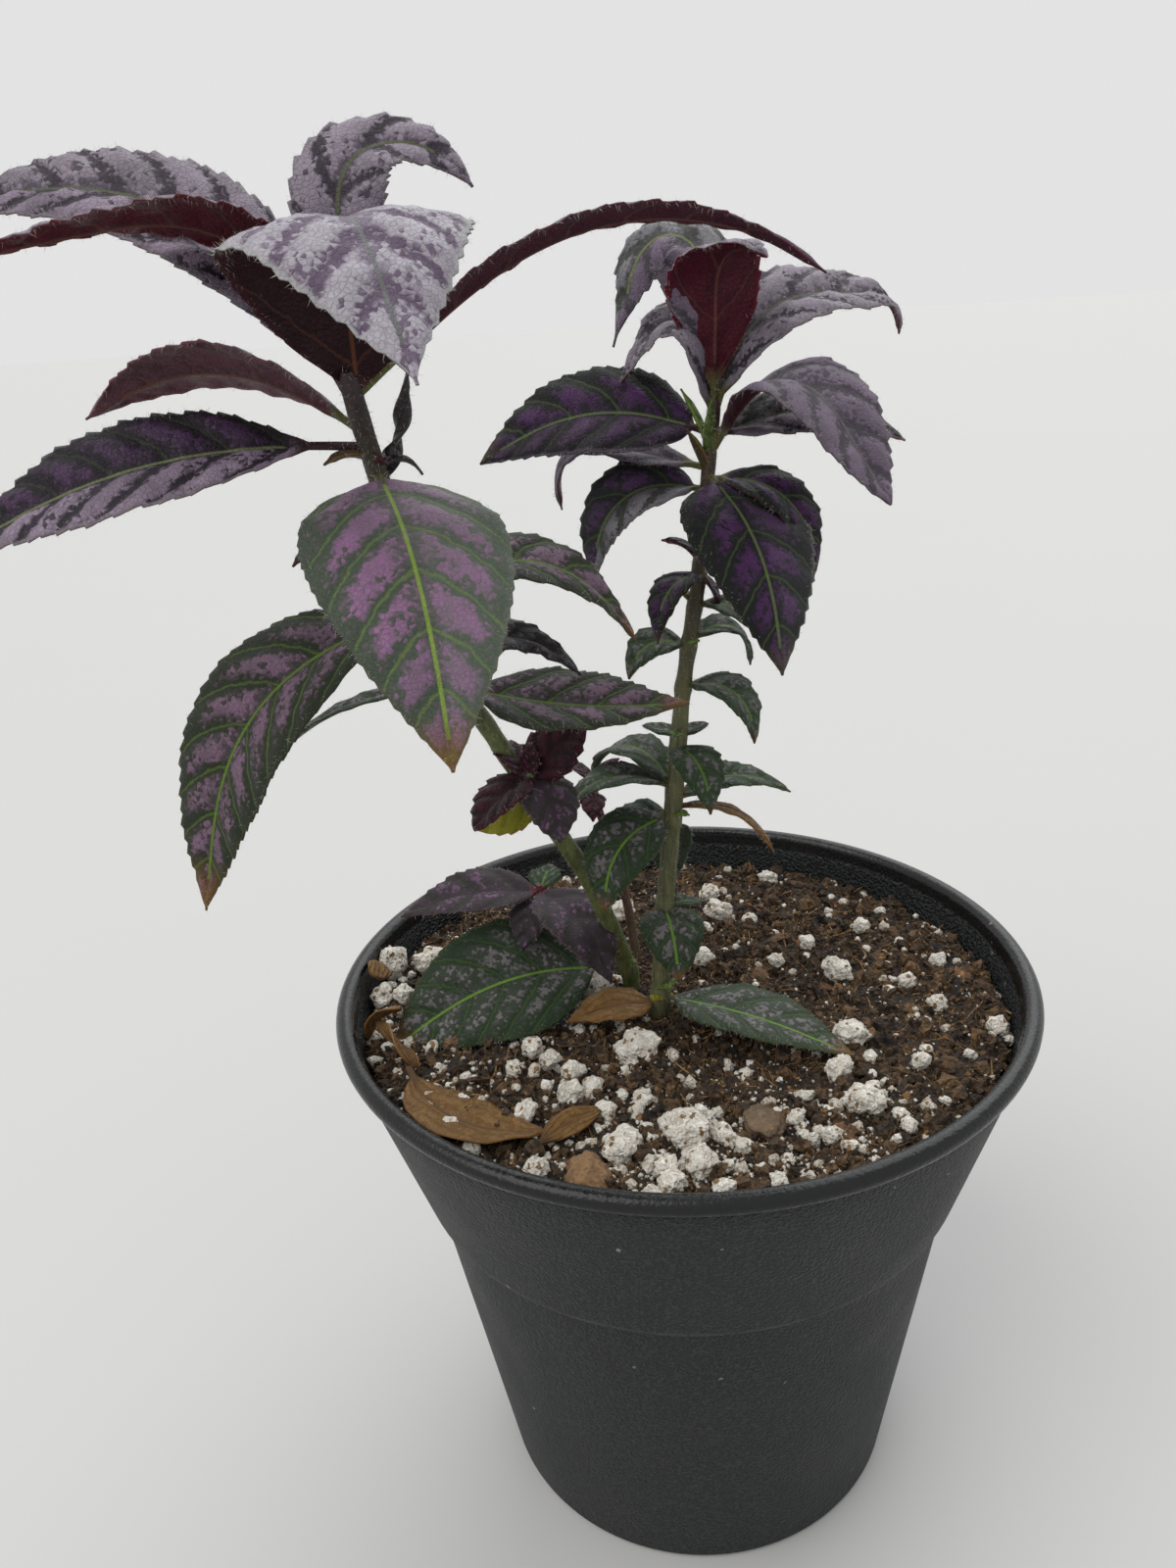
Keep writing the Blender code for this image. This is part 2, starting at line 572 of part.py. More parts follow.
def build_soil(material: bpy.types.Material) -> bpy.types.Object:
    """Make the soil with its perlite fused in and a plain hole for each stem."""
    dice = random.Random(SEED)
    soil = add_object("soil", soil_mesh(), material)
    lumps = []
    for index, (x, y, size) in enumerate(PERLITE):
        centre = (x, y, soil_height(x, y) + LUMP_LIFT * size)
        lumps.append(lump_mesh(f"lump_{index:02d}", centre, LUMP_GROWTH * size, dice, LUMP_FLATNESS))
    boolean_with(soil, lumps, 'UNION', 'EXACT')
    holes = []
    for route, radius in STEM_HOLES:
        foot = route[0]
        length = BURIED_DEPTH + CLEARANCE + HOLE_RISE
        centre = (foot[0], foot[1], foot[2] - BURIED_DEPTH - CLEARANCE + length / 2)
        holes.append(rod_mesh("hole", centre, radius + HOLE_SLACK, length))
    holes += [bark_mesh("pocket", *chip[1:], 1.5 * CLEARANCE) for chip in BARK]
    boolean_with(soil, holes, 'DIFFERENCE', 'EXACT')
    keep_main_shell(soil.data)
    return soil


def bark_mesh(name: str, x: float, y: float, size: float, thin: float, grow: float) -> bpy.types.Mesh:
    """Make a bark chip where it lies, grown on every side by a margin."""
    full = size + 2 * grow
    flat = (size * thin + 2 * grow) / full
    centre = (x, y, soil_height(x, y) + 0.35)
    return face_outward(lump_mesh(name, centre, full, random.Random(SEED + int(size)), flat))


def main() -> None:
    """Build the whole plant in its pot."""
    clear_scene()
    black = make_material("pot_plastic", (0.03, 0.032, 0.035), 0.55)
    earth = make_material("potting_mix", (0.09, 0.055, 0.035), 0.95)
    purple = make_material("leaf_purple", (0.16, 0.08, 0.17), 0.6)
    green = make_material("leaf_green", (0.09, 0.13, 0.08), 0.6)
    brown = make_material("dead_leaf", (0.3, 0.17, 0.07), 0.85)
    build_pot(black)
    build_soil(earth)
    build_plant("plant_right", RIGHT_STEM, RIGHT_RADII, RIGHT_CROWN + RIGHT_BELOW, green)
    build_plant("plant_left", LEFT_STEM, LEFT_RADII, LEFT_CROWN + LEFT_BELOW, purple,
                ((SIDE_SHOOT, SIDE_SHOOT_LEAVES),))
    build_plant("shoot_low", LOW_SHOOT, SHOOT_RADII, LOW_SHOOT_LEAVES, purple)
    build_plant("shoot_back", BACK_SHOOT, SHOOT_RADII, BACK_SHOOT_LEAVES, purple)
    for name, leaf, root in (("dry_leaf", DRY_LEAF, DRY_LEAF_ROOT), ("dry_leaf_tip", DRY_TIP, DRY_TIP_ROOT)):
        add_object(name, leaf_mesh(name, leaf, np.array((*root, leaf.height))), brown)
    for chip in BARK:
        add_object(chip[0], bark_mesh(*chip, 0.0), brown)


if __name__ == "__main__":
    main()
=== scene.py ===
"""Dresses a potted Persian shield: its leaves, stems, shoots, potting mix and nursery pot.

Sizes are in millimetres until a mesh is made; the scene is in metres, +Z up, pot at the origin.
"""

import json
import logging
import math
import random
from dataclasses import dataclass, field
from enum import Enum
from functools import cache

import bmesh
import bpy
import numpy as np
from mathutils import Matrix, Vector, noise

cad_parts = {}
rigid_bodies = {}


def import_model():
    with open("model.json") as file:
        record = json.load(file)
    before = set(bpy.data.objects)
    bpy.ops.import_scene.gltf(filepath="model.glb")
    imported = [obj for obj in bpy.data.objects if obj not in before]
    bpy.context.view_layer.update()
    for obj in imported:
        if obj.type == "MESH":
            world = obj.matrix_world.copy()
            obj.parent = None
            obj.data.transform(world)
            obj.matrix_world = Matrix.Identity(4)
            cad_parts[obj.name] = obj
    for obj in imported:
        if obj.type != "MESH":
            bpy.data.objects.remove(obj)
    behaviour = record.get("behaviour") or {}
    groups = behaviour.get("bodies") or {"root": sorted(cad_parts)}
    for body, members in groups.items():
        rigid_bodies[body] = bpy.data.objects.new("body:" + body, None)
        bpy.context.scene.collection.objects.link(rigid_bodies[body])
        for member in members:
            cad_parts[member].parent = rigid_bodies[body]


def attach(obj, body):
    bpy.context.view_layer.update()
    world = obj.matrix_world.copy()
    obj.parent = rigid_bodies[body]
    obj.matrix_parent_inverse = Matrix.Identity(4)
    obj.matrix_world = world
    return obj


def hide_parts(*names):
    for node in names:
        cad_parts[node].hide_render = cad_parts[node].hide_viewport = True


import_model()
LOG = logging.getLogger("persian_shield")
METRES = 0.001
# The pot's inner wall, in millimetres: its radius below the bead, that level, and how fast it narrows
INNER_RADIUS = 70.8
INNER_LEVEL = 120.35
INNER_SLOPE = 0.297
# Where the stems come out of the soil, in millimetres
SOIL_LEVEL = 118.0
FULL_TURN = 6.28
# Points nearer than this, in metres, become one
MERGE_DISTANCE = 2e-6
TONE_SEED = 77
# Cells of the fine net between a leaf's veins, per metre
MESH_OF_VEINS = 1300.0
GEOMETRY = 'NodeSocketGeometry'


def linear(colour: tuple) -> tuple:
    """Return the linear colour, with full alpha, of red, green and blue as seen on a display."""
    parts = [c / 12.92 if c <= 0.04045 else ((c + 0.055) / 1.055) ** 2.4 for c in colour]
    return (*parts, 1.0)


def smooth_step(value: np.ndarray) -> np.ndarray:
    """Return numbers held to 0 and 1, and eased between them."""
    value = np.clip(value, 0.0, 1.0)
    return value * value * (3.0 - 2.0 * value)


# Leaf finishes
@dataclass(frozen=True)
class LeafFinish:
    """Colours of one kind of leaf, as seen on a display, and how its veins, edge and relief look."""

    panel: tuple
    vein: tuple
    edge: tuple
    rib: tuple
    under: tuple = (0.25, 0.06, 0.12)
    under_rib: tuple = (0.36, 0.20, 0.17)
    stalk: tuple = (0.34, 0.34, 0.20)
    vein_width: float = 0.28
    reach: float = 1.0
    blotch: float = 0.15
    line: float = 0.12
    quilt: float = 0.35
    ruffle: float = 0.12
    teeth: float = 1.0
    tip: tuple = (0.36, 0.25, 0.12)
    tip_share: float = 0.0
    lengthwise: bool = False


class Look(Enum):
    """The kinds of leaf on this plant, from the youngest to the dead ones."""

    # The silvery panel and margin colours hold painted sheen, the glancing silvery shine of the hairy leaves,
    # as well as the leaves' own colour
    PALE = LeafFinish((0.66, 0.64, 0.675), (0.37, 0.31, 0.39), (0.64, 0.635, 0.645), (0.43, 0.44, 0.43),
                      under=(0.15, 0.015, 0.05), under_rib=(0.36, 0.20, 0.12), stalk=(0.28, 0.14, 0.10),
                      vein_width=0.28, blotch=0.2, quilt=0.7, ruffle=0.12)
    SILVER = LeafFinish((0.53, 0.49, 0.54), (0.21, 0.175, 0.215), (0.46, 0.44, 0.465), (0.34, 0.36, 0.27),
                        under=(0.27, 0.025, 0.105), vein_width=0.27, blotch=0.14, line=0.0, quilt=0.7,
                        ruffle=0.18, teeth=1.4)
    BLUSH = LeafFinish((0.53, 0.49, 0.54), (0.18, 0.15, 0.185), (0.46, 0.44, 0.465), (0.34, 0.36, 0.27),
                       under=(0.33, 0.19, 0.23), under_rib=(0.42, 0.24, 0.19), vein_width=0.34,
                       blotch=0.14, line=0.0, quilt=0.6, ruffle=0.15, teeth=0.8)
    FROST = LeafFinish((0.46, 0.45, 0.47), (0.22, 0.22, 0.22), (0.40, 0.40, 0.40), (0.42, 0.46, 0.28),
                       under=(0.27, 0.025, 0.105), vein_width=0.34, blotch=0.16, quilt=0.8, ruffle=0.18,
                       teeth=1.4)
    LILAC = LeafFinish((0.43, 0.375, 0.445), (0.25, 0.225, 0.26), (0.36, 0.33, 0.365), (0.38, 0.36, 0.36),
                       vein_width=0.28, blotch=0.18, line=0.0, ruffle=0.15, under=(0.23, 0.045, 0.12))
    STRIPED = LeafFinish((0.54, 0.48, 0.55), (0.15, 0.115, 0.16), (0.44, 0.41, 0.44), (0.44, 0.46, 0.33),
                         under=(0.28, 0.03, 0.09), stalk=(0.20, 0.12, 0.13), vein_width=0.34,
                         blotch=0.14, line=0.0, quilt=0.7, ruffle=0.18, teeth=1.4)
    NIGHT = LeafFinish((0.245, 0.145, 0.27), (0.075, 0.055, 0.08), (0.30, 0.28, 0.31), (0.40, 0.44, 0.29),
                       under=(0.22, 0.05, 0.10), stalk=(0.20, 0.12, 0.13), vein_width=0.44, reach=0.80,
                       blotch=0.3, line=0.10, quilt=0.6, ruffle=0.18, teeth=1.4)
    DUSK = LeafFinish((0.27, 0.12, 0.31), (0.065, 0.08, 0.07), (0.09, 0.11, 0.09), (0.34, 0.40, 0.24),
                      vein_width=0.42, reach=0.66, blotch=0.24, line=0.32, quilt=0.45,
                      tip=(0.30, 0.27, 0.19), tip_share=0.65, under=(0.30, 0.06, 0.13), ruffle=0.12)
    # DUSK with a lighter silver-grey vein net and margin: painted sheen on the side of a dark leaf that
    # catches the light
    SLATE = LeafFinish((0.33, 0.22, 0.37), (0.15, 0.16, 0.155), (0.33, 0.34, 0.33), (0.36, 0.42, 0.26),
                       vein_width=0.42, reach=0.66, blotch=0.28, line=0.28, quilt=0.45,
                       tip=(0.32, 0.31, 0.25), tip_share=0.65, under=(0.30, 0.06, 0.13), ruffle=0.12)
    MAUVE = LeafFinish((0.55, 0.40, 0.54), (0.27, 0.31, 0.26), (0.28, 0.31, 0.27), (0.50, 0.60, 0.25),
                       vein_width=0.40, reach=0.78, blotch=0.18, line=0.3, quilt=0.4,
                       tip=(0.44, 0.33, 0.15), tip_share=0.85, teeth=0.6)
    # MAUVE with paler grey-green veins and margin: painted silvery sheen on the half of the mauve leaf that
    # catches the light
    HAZE = LeafFinish((0.55, 0.42, 0.54), (0.33, 0.37, 0.32), (0.38, 0.41, 0.37), (0.50, 0.60, 0.25),
                      vein_width=0.38, reach=0.76, blotch=0.22, line=0.3, quilt=0.4,
                      tip=(0.44, 0.33, 0.15), tip_share=0.85, teeth=0.6)
    MEADOW = LeafFinish((0.49, 0.38, 0.47), (0.15, 0.18, 0.12), (0.17, 0.20, 0.13), (0.38, 0.50, 0.16),
                        under=(0.22, 0.17, 0.17), under_rib=(0.36, 0.42, 0.20), vein_width=0.44,
                        reach=0.70, blotch=0.34, line=0.4, tip=(0.42, 0.29, 0.12), tip_share=0.85)
    GREEN = LeafFinish((0.40, 0.385, 0.39), (0.15, 0.215, 0.13), (0.16, 0.22, 0.13), (0.34, 0.46, 0.19),
                       under=(0.25, 0.29, 0.24), under_rib=(0.34, 0.42, 0.26), vein_width=0.42,
                       reach=0.72, blotch=0.62, line=0.2, tip=(0.33, 0.23, 0.12), tip_share=0.75)
    AGED = LeafFinish((0.45, 0.425, 0.44), (0.14, 0.20, 0.12), (0.16, 0.22, 0.12), (0.40, 0.54, 0.18),
                      under=(0.26, 0.32, 0.22), under_rib=(0.38, 0.46, 0.24), vein_width=0.40,
                      reach=0.74, blotch=0.66, line=0.15, quilt=0.3, tip=(0.42, 0.30, 0.14),
                      tip_share=0.85, teeth=0.7)
    PLUM = LeafFinish((0.43, 0.31, 0.43), (0.165, 0.15, 0.145), (0.28, 0.22, 0.245), (0.20, 0.15, 0.18),
                      under=(0.20, 0.10, 0.14), vein_width=0.40, reach=0.86, blotch=0.92, line=0.05,
                      stalk=(0.36, 0.10, 0.18))
    RUBY = LeafFinish((0.25, 0.06, 0.13), (0.12, 0.04, 0.075), (0.24, 0.07, 0.12), (0.22, 0.08, 0.12),
                      under=(0.26, 0.03, 0.09), vein_width=0.30, blotch=0.45, line=0.05, quilt=0.6,
                      teeth=1.5, stalk=(0.22, 0.08, 0.10))
    YELLOW = LeafFinish((0.55, 0.53, 0.12), (0.46, 0.46, 0.12), (0.52, 0.42, 0.12), (0.56, 0.56, 0.20),
                        under=(0.48, 0.46, 0.12), under_rib=(0.5, 0.5, 0.2), vein_width=0.2,
                        stalk=(0.4, 0.42, 0.16), tip=(0.38, 0.20, 0.10), tip_share=0.6)
    BUD = LeafFinish((0.38, 0.46, 0.20), (0.28, 0.37, 0.15), (0.32, 0.38, 0.17), (0.42, 0.48, 0.22),
                     under=(0.34, 0.41, 0.20), under_rib=(0.38, 0.45, 0.22), vein_width=0.2)
    BRACT = LeafFinish((0.36, 0.28, 0.17), (0.27, 0.20, 0.13), (0.30, 0.20, 0.13), (0.42, 0.38, 0.22),
                       under=(0.33, 0.27, 0.16), under_rib=(0.38, 0.34, 0.2), vein_width=0.2,
                       lengthwise=True)
    TAWNY = LeafFinish((0.50, 0.37, 0.19), (0.40, 0.285, 0.135), (0.42, 0.30, 0.14), (0.36, 0.25, 0.12),
                       under=(0.42, 0.29, 0.14), under_rib=(0.38, 0.26, 0.12), stalk=(0.33, 0.24, 0.13),
                       vein_width=0.16, blotch=0.5, line=0.05, quilt=0.55, ruffle=0.3, teeth=0.4,
                       lengthwise=True)
    DRIED = LeafFinish((0.33, 0.31, 0.33), (0.12, 0.11, 0.12), (0.16, 0.14, 0.15), (0.15, 0.14, 0.13),
                       under=(0.23, 0.21, 0.22), under_rib=(0.18, 0.17, 0.15), stalk=(0.15, 0.13, 0.12),
                       vein_width=0.4, blotch=0.5, line=0.05, quilt=0.9, ruffle=0.3)


@dataclass(frozen=True)
class Leaf:
    """A leaf: its height on the stem, the run of its midrib in degrees, its blade and its look."""

    height: float
    heading: float
    rise: float
    droop: float
    length: float
    width: float
    roll: float = 0.0
    tip_roll: float = 0.0
    turn: float = 0.0
    fold: float = 18.0
    petiole: float = 0.08
    swell: float = 0.75
    taper: float = 1.15
    bend_at: float = 0.5
    bend_half: float = 0.5
    tip_drop: float = 0.0
    look: Look = Look.GREEN
    # Look of the blade's left half: painted light, shade and sheen that the two halves of a folded blade
    # catch differently
    left_light_and_shade_look: Look | None = None


RIGHT_STEM = ((-5, -7, 115), (-3, -7, 141), (-0.5, -7, 163), (0.8, -7, 176), (2.4, -7, 190),
              (4, -7, 200), (6, -7, 211), (7.4, -7, 224), (8.3, -7, 232), (9, -7, 238), (9.6, -7, 243))
LEFT_STEM = ((-11, 4, 115), (-11.3, 3.5, 120.5), (-14.5, -2, 135), (-18.5, -7, 150), (-27, -16, 171.5),
             (-34, -25, 191), (-38, -31, 201), (-41, -37, 218), (-42.5, -43, 232), (-43, -47, 240),
             (-43.4, -51, 247), (-43.5, -54, 253))
SIDE_SHOOT = ((-26, -15, 169), (-26, -21, 176), (-26.5, -25, 180.5))
LOW_SHOOT = ((-27, 16, 115), (-27.2, 15.5, 120), (-28.5, 13, 125), (-30.5, 8.5, 136), (-30.8, 7.5, 141))
BACK_SHOOT = ((-10, 16, 115), (-12, 20, 130), (-16, 20, 148), (-18, 18, 158), (-18, 18, 163))

RIGHT_LEAVES = (
    Leaf(230, -63, -22, -82, 43, 24, fold=10, swell=0.5, taper=1.1, look=Look.DUSK,
         left_light_and_shade_look=Look.SLATE),
    Leaf(229, -22, 5, -88, 31, 12, roll=20, look=Look.DUSK),
    Leaf(227, 188, 18, -88, 32, 14.5, roll=-25, tip_roll=-30, fold=25, swell=0.6, look=Look.SLATE,
         left_light_and_shade_look=Look.FROST),
    Leaf(231, 172, 15, -100, 37, 12, roll=-18, bend_at=0.72, bend_half=0.28, look=Look.LILAC),
    Leaf(237, 182, 22, -30, 44, 21, roll=-42, swell=0.6, taper=1.0, look=Look.DUSK,
         left_light_and_shade_look=Look.NIGHT),
    Leaf(238, 170, 86, -55, 36, 15, roll=-25, swell=1.0, bend_at=0.55, bend_half=0.25,
         look=Look.SILVER),
    Leaf(240, -75, 84, -50, 36, 18, turn=60, swell=1.5, taper=1.0, bend_at=0.8, bend_half=0.3,
         look=Look.SILVER),
    Leaf(243, 152, 86, -72, 52, 19, turn=38, roll=-8, tip_roll=-40, fold=3, swell=1.3, taper=1.8,
         bend_at=0.57, bend_half=0.22, look=Look.FROST, left_light_and_shade_look=Look.LILAC),
    Leaf(239, 20, 70, -5, 52, 20, roll=25, swell=1.0, bend_at=0.4, bend_half=0.3, tip_drop=90,
         look=Look.SILVER),
    Leaf(233, -36, 54, -55, 50, 22, roll=10, swell=1.0, taper=1.0, bend_at=0.42, bend_half=0.3,
         look=Look.LILAC),
    Leaf(236, 6, 22, -30, 37, 16, roll=28, look=Look.STRIPED, left_light_and_shade_look=Look.FROST),
    Leaf(206, -20, 10, -80, 23, 11, roll=10),
    Leaf(199, 20, 35, -88, 19, 8, roll=15),
    Leaf(212, -132, 5, -88, 19, 9, swell=0.5, look=Look.DUSK),
    Leaf(212, -10, -40, -88, 8, 5, look=Look.DUSK),
    Leaf(214, 165, 60, 0, 9, 4, look=Look.DUSK),
    Leaf(198, 195, 30, -75, 16, 10, roll=-20),
    Leaf(190, -25, 20, -88, 22, 12, roll=5),
    Leaf(190, 20, 5, -75, 20, 7),
    Leaf(180, 155, 20, 0, 8, 6),
    Leaf(180, 30, 20, 0, 7, 6),
    Leaf(178, -60, 0, -85, 18, 11, swell=0.5),
    Leaf(169, 188, 30, -48, 27, 13),
    Leaf(166, 8, 34, -34, 26, 10, roll=10),
    Leaf(165, 0, 5, -62, 25, 5, look=Look.TAWNY),
    Leaf(163, 218, 5, -88, 28, 15.5, roll=-20, look=Look.AGED),
    Leaf(162, 95, -40, -88, 24, 10),
    Leaf(142, -80, 5, -70, 19, 14, swell=0.45, taper=1.0, look=Look.AGED),
    Leaf(142, 35, 10, -30, 10, 7),
    Leaf(120.8, -28, 6, -12, 44, 22, roll=-6, look=Look.AGED),
    Leaf(119, 205, 18, -10, 22, 11, roll=-10, look=Look.TAWNY),
    Leaf(168, 150, 65, -60, 27, 13),
    Leaf(163, 170, 10, -80, 20, 11, roll=-10),
)
LEFT_LEAVES = (
    Leaf(242, 190, 5, -26, 66, 21, roll=-35, petiole=0.12, swell=1.0, look=Look.NIGHT,
         left_light_and_shade_look=Look.STRIPED),
    Leaf(244, 172, 36, -26, 48, 15, roll=30, look=Look.BLUSH),
    Leaf(247, 172, 65, -5, 77, 20, roll=-35, swell=0.8, taper=1.0, bend_at=0.45, bend_half=0.45,
         tip_drop=85, look=Look.SILVER, left_light_and_shade_look=Look.STRIPED),
    Leaf(247, 215, 73, -10, 66, 17, roll=10, bend_at=0.4, bend_half=0.32, look=Look.STRIPED),
    Leaf(245, -76, 65, -52, 66, 32, roll=3, turn=16, fold=5, swell=1.05, taper=1.35, bend_at=0.52,
         bend_half=0.30, look=Look.PALE),
    Leaf(250, 79, 84, -22, 50.5, 13.5, roll=12, tip_roll=42, turn=-79, swell=1.0, taper=1.1,
         bend_at=0.64, bend_half=0.26, tip_drop=33, look=Look.SILVER),
    Leaf(249, 8, 38, -50, 76, 14, roll=-9, bend_at=0.7, bend_half=0.6, look=Look.LILAC),
    Leaf(236, 5, 62, 78, 18, 3.6, tip_roll=430, petiole=0.0, look=Look.DRIED),
    Leaf(236, 0, 80, -60, 10, 1.6, petiole=0.0, look=Look.DRIED),
    Leaf(238, -68, -12, -80, 55, 29.5, fold=6, swell=0.5, taper=1.05, look=Look.MAUVE,
         left_light_and_shade_look=Look.HAZE),
    Leaf(231, 190, 0, -45, 18, 8, look=Look.DUSK),
    Leaf(199, -8, -12, 4, 41, 22, roll=12, look=Look.MEADOW),
    Leaf(198, 182, 4, -34, 36, 9, look=Look.AGED),
    Leaf(206, 12, 20, -50, 27, 9, roll=25, look=Look.DRIED),
    Leaf(217, 10, 26, -60, 43, 17, roll=18, look=Look.MEADOW),
    Leaf(214, 190, -12, -76, 73, 26, roll=-25, tip_roll=-35, swell=0.8, bend_at=0.43,
         bend_half=0.45, look=Look.MEADOW),
    Leaf(121.5, 203, 18, -31, 58, 30, roll=-32, petiole=0.15, look=Look.AGED),
)
SIDE_LEAVES = (
    Leaf(179, 15, 50, 25, 14, 11.5, roll=45, petiole=0.0, swell=0.55, taper=0.8, look=Look.RUBY),
    Leaf(179, 215, -10, -50, 15, 13, petiole=0.0, swell=0.55, taper=0.8, look=Look.RUBY),
    Leaf(179, 150, 50, 15, 11, 8, petiole=0.0, taper=0.9, look=Look.RUBY),
    Leaf(179, -55, -10, -85, 15, 12, petiole=0.0, swell=0.6, taper=0.9, look=Look.PLUM),
    Leaf(174, 190, -22, -30, 14, 11, roll=-50, petiole=0.0, swell=0.6, taper=0.9, look=Look.YELLOW),
    Leaf(180, 80, 75, 60, 6, 4, petiole=0.0, look=Look.RUBY),
)
LOW_LEAVES = (
    Leaf(139, 189, 12, -22, 32, 15, roll=-15, petiole=0.02, look=Look.PLUM),
    Leaf(139, -50, 5, -58, 30, 17, petiole=0.02, look=Look.PLUM),
    Leaf(138, -105, -5, -55, 15, 10, look=Look.PLUM),
    Leaf(139, 75, 35, 0, 9, 8, look=Look.GREEN),
)
BACK_LEAVES = (
    Leaf(161, 160, 50, 10, 8, 5, look=Look.RUBY),
    Leaf(161, 20, 50, 20, 8, 5, look=Look.RUBY),
    Leaf(158, -90, 10, -60, 9, 6, look=Look.RUBY),
)
DRY_LEAF = (
    (Leaf(120.3, -62, -4, 4, 38, 16, roll=-12, turn=55, swell=0.9, taper=0.9, look=Look.TAWNY),
     (-55.0, -31.0)),
    (Leaf(122.0, -50, -2, -14, 17, 3.2, tip_roll=250, petiole=0.0, swell=0.3, taper=0.3,
          look=Look.TAWNY), (-64.0, -17.0)),
    (Leaf(122.6, 212, 10, -75, 11, 8, roll=20, tip_roll=60, petiole=0.0, swell=0.5, look=Look.TAWNY),
     (-60.0, -12.5)),
    (Leaf(121.5, 110, 35, -30, 8, 6, roll=30, petiole=0.0, swell=0.5, look=Look.TAWNY), (-67.5, 1.0)),
)
DRY_TIP = ((Leaf(119.5, 40, 14, -12, 16, 6, roll=15, look=Look.TAWNY), (-27.0, -54.0)),)


# Small bracts, axil shoots and dead slips that fill in the main leaves
RIGHT_TRIM = (
    Leaf(232, -82, 76, 62, 12, 2.6, petiole=0.0, look=Look.BUD),
    Leaf(233, -20, 66, 40, 11, 2.4, petiole=0.0, look=Look.BRACT),
    Leaf(230, -135, 66, 50, 10, 2.4, petiole=0.0, look=Look.BRACT),
    Leaf(234, 165, 72, 58, 12, 2.6, petiole=0.0, look=Look.BUD),
    Leaf(224, -100, 40, 10, 6, 2.2, petiole=0.0, look=Look.BRACT),
    Leaf(206, 150, 55, 20, 5, 2.4, look=Look.BUD),
    Leaf(198, -60, 45, 10, 4.5, 2.2, look=Look.BUD),
    Leaf(180, -100, 40, 0, 5, 2.6, look=Look.BUD),
    Leaf(163, -45, 35, 0, 5, 2.6, look=Look.BUD),
    Leaf(122, -60, 55, 10, 6, 3.6, look=Look.BUD),
    Leaf(121, -20, 60, 30, 7, 3.2, look=Look.BUD),
    Leaf(120, -110, 45, 5, 5, 3.0, look=Look.YELLOW),
    Leaf(118.4, 196, 3, -3, 27, 4.6, look=Look.DRIED),
)
LEFT_TRIM = (
    Leaf(240, -150, 30, -30, 8, 2.8, petiole=0.0, look=Look.BRACT),
    Leaf(238, -60, 50, 0, 6, 2.2, petiole=0.0, look=Look.RUBY),
    Leaf(244, 120, 60, 20, 7, 2.4, petiole=0.0, look=Look.RUBY),
    Leaf(199, -70, 45, 0, 5, 2.4, look=Look.BUD),
    Leaf(214, -60, 50, 10, 5, 2.2, look=Look.BUD),
    Leaf(123, -60, 50, 10, 5, 2.6, look=Look.BUD),
)


# Node graphs
def add_inputs(tree: bpy.types.NodeTree, inputs: dict) -> dict:
    """Give a tree its named inputs.

    Args:
        tree: The tree.
        inputs: Input name to its default number, or to its socket type where it has no default.

    Returns:
        Input name to socket identifier.
    """
    names = {}
    for label, value in inputs.items():
        number = 'NodeSocketInt' if isinstance(value, int) else 'NodeSocketFloat'
        kind = value if isinstance(value, str) else number
        socket = tree.interface.new_socket(name=label, in_out='INPUT', socket_type=kind)
        if kind is number:
            socket.default_value = value
        names[label] = socket.identifier
    return names


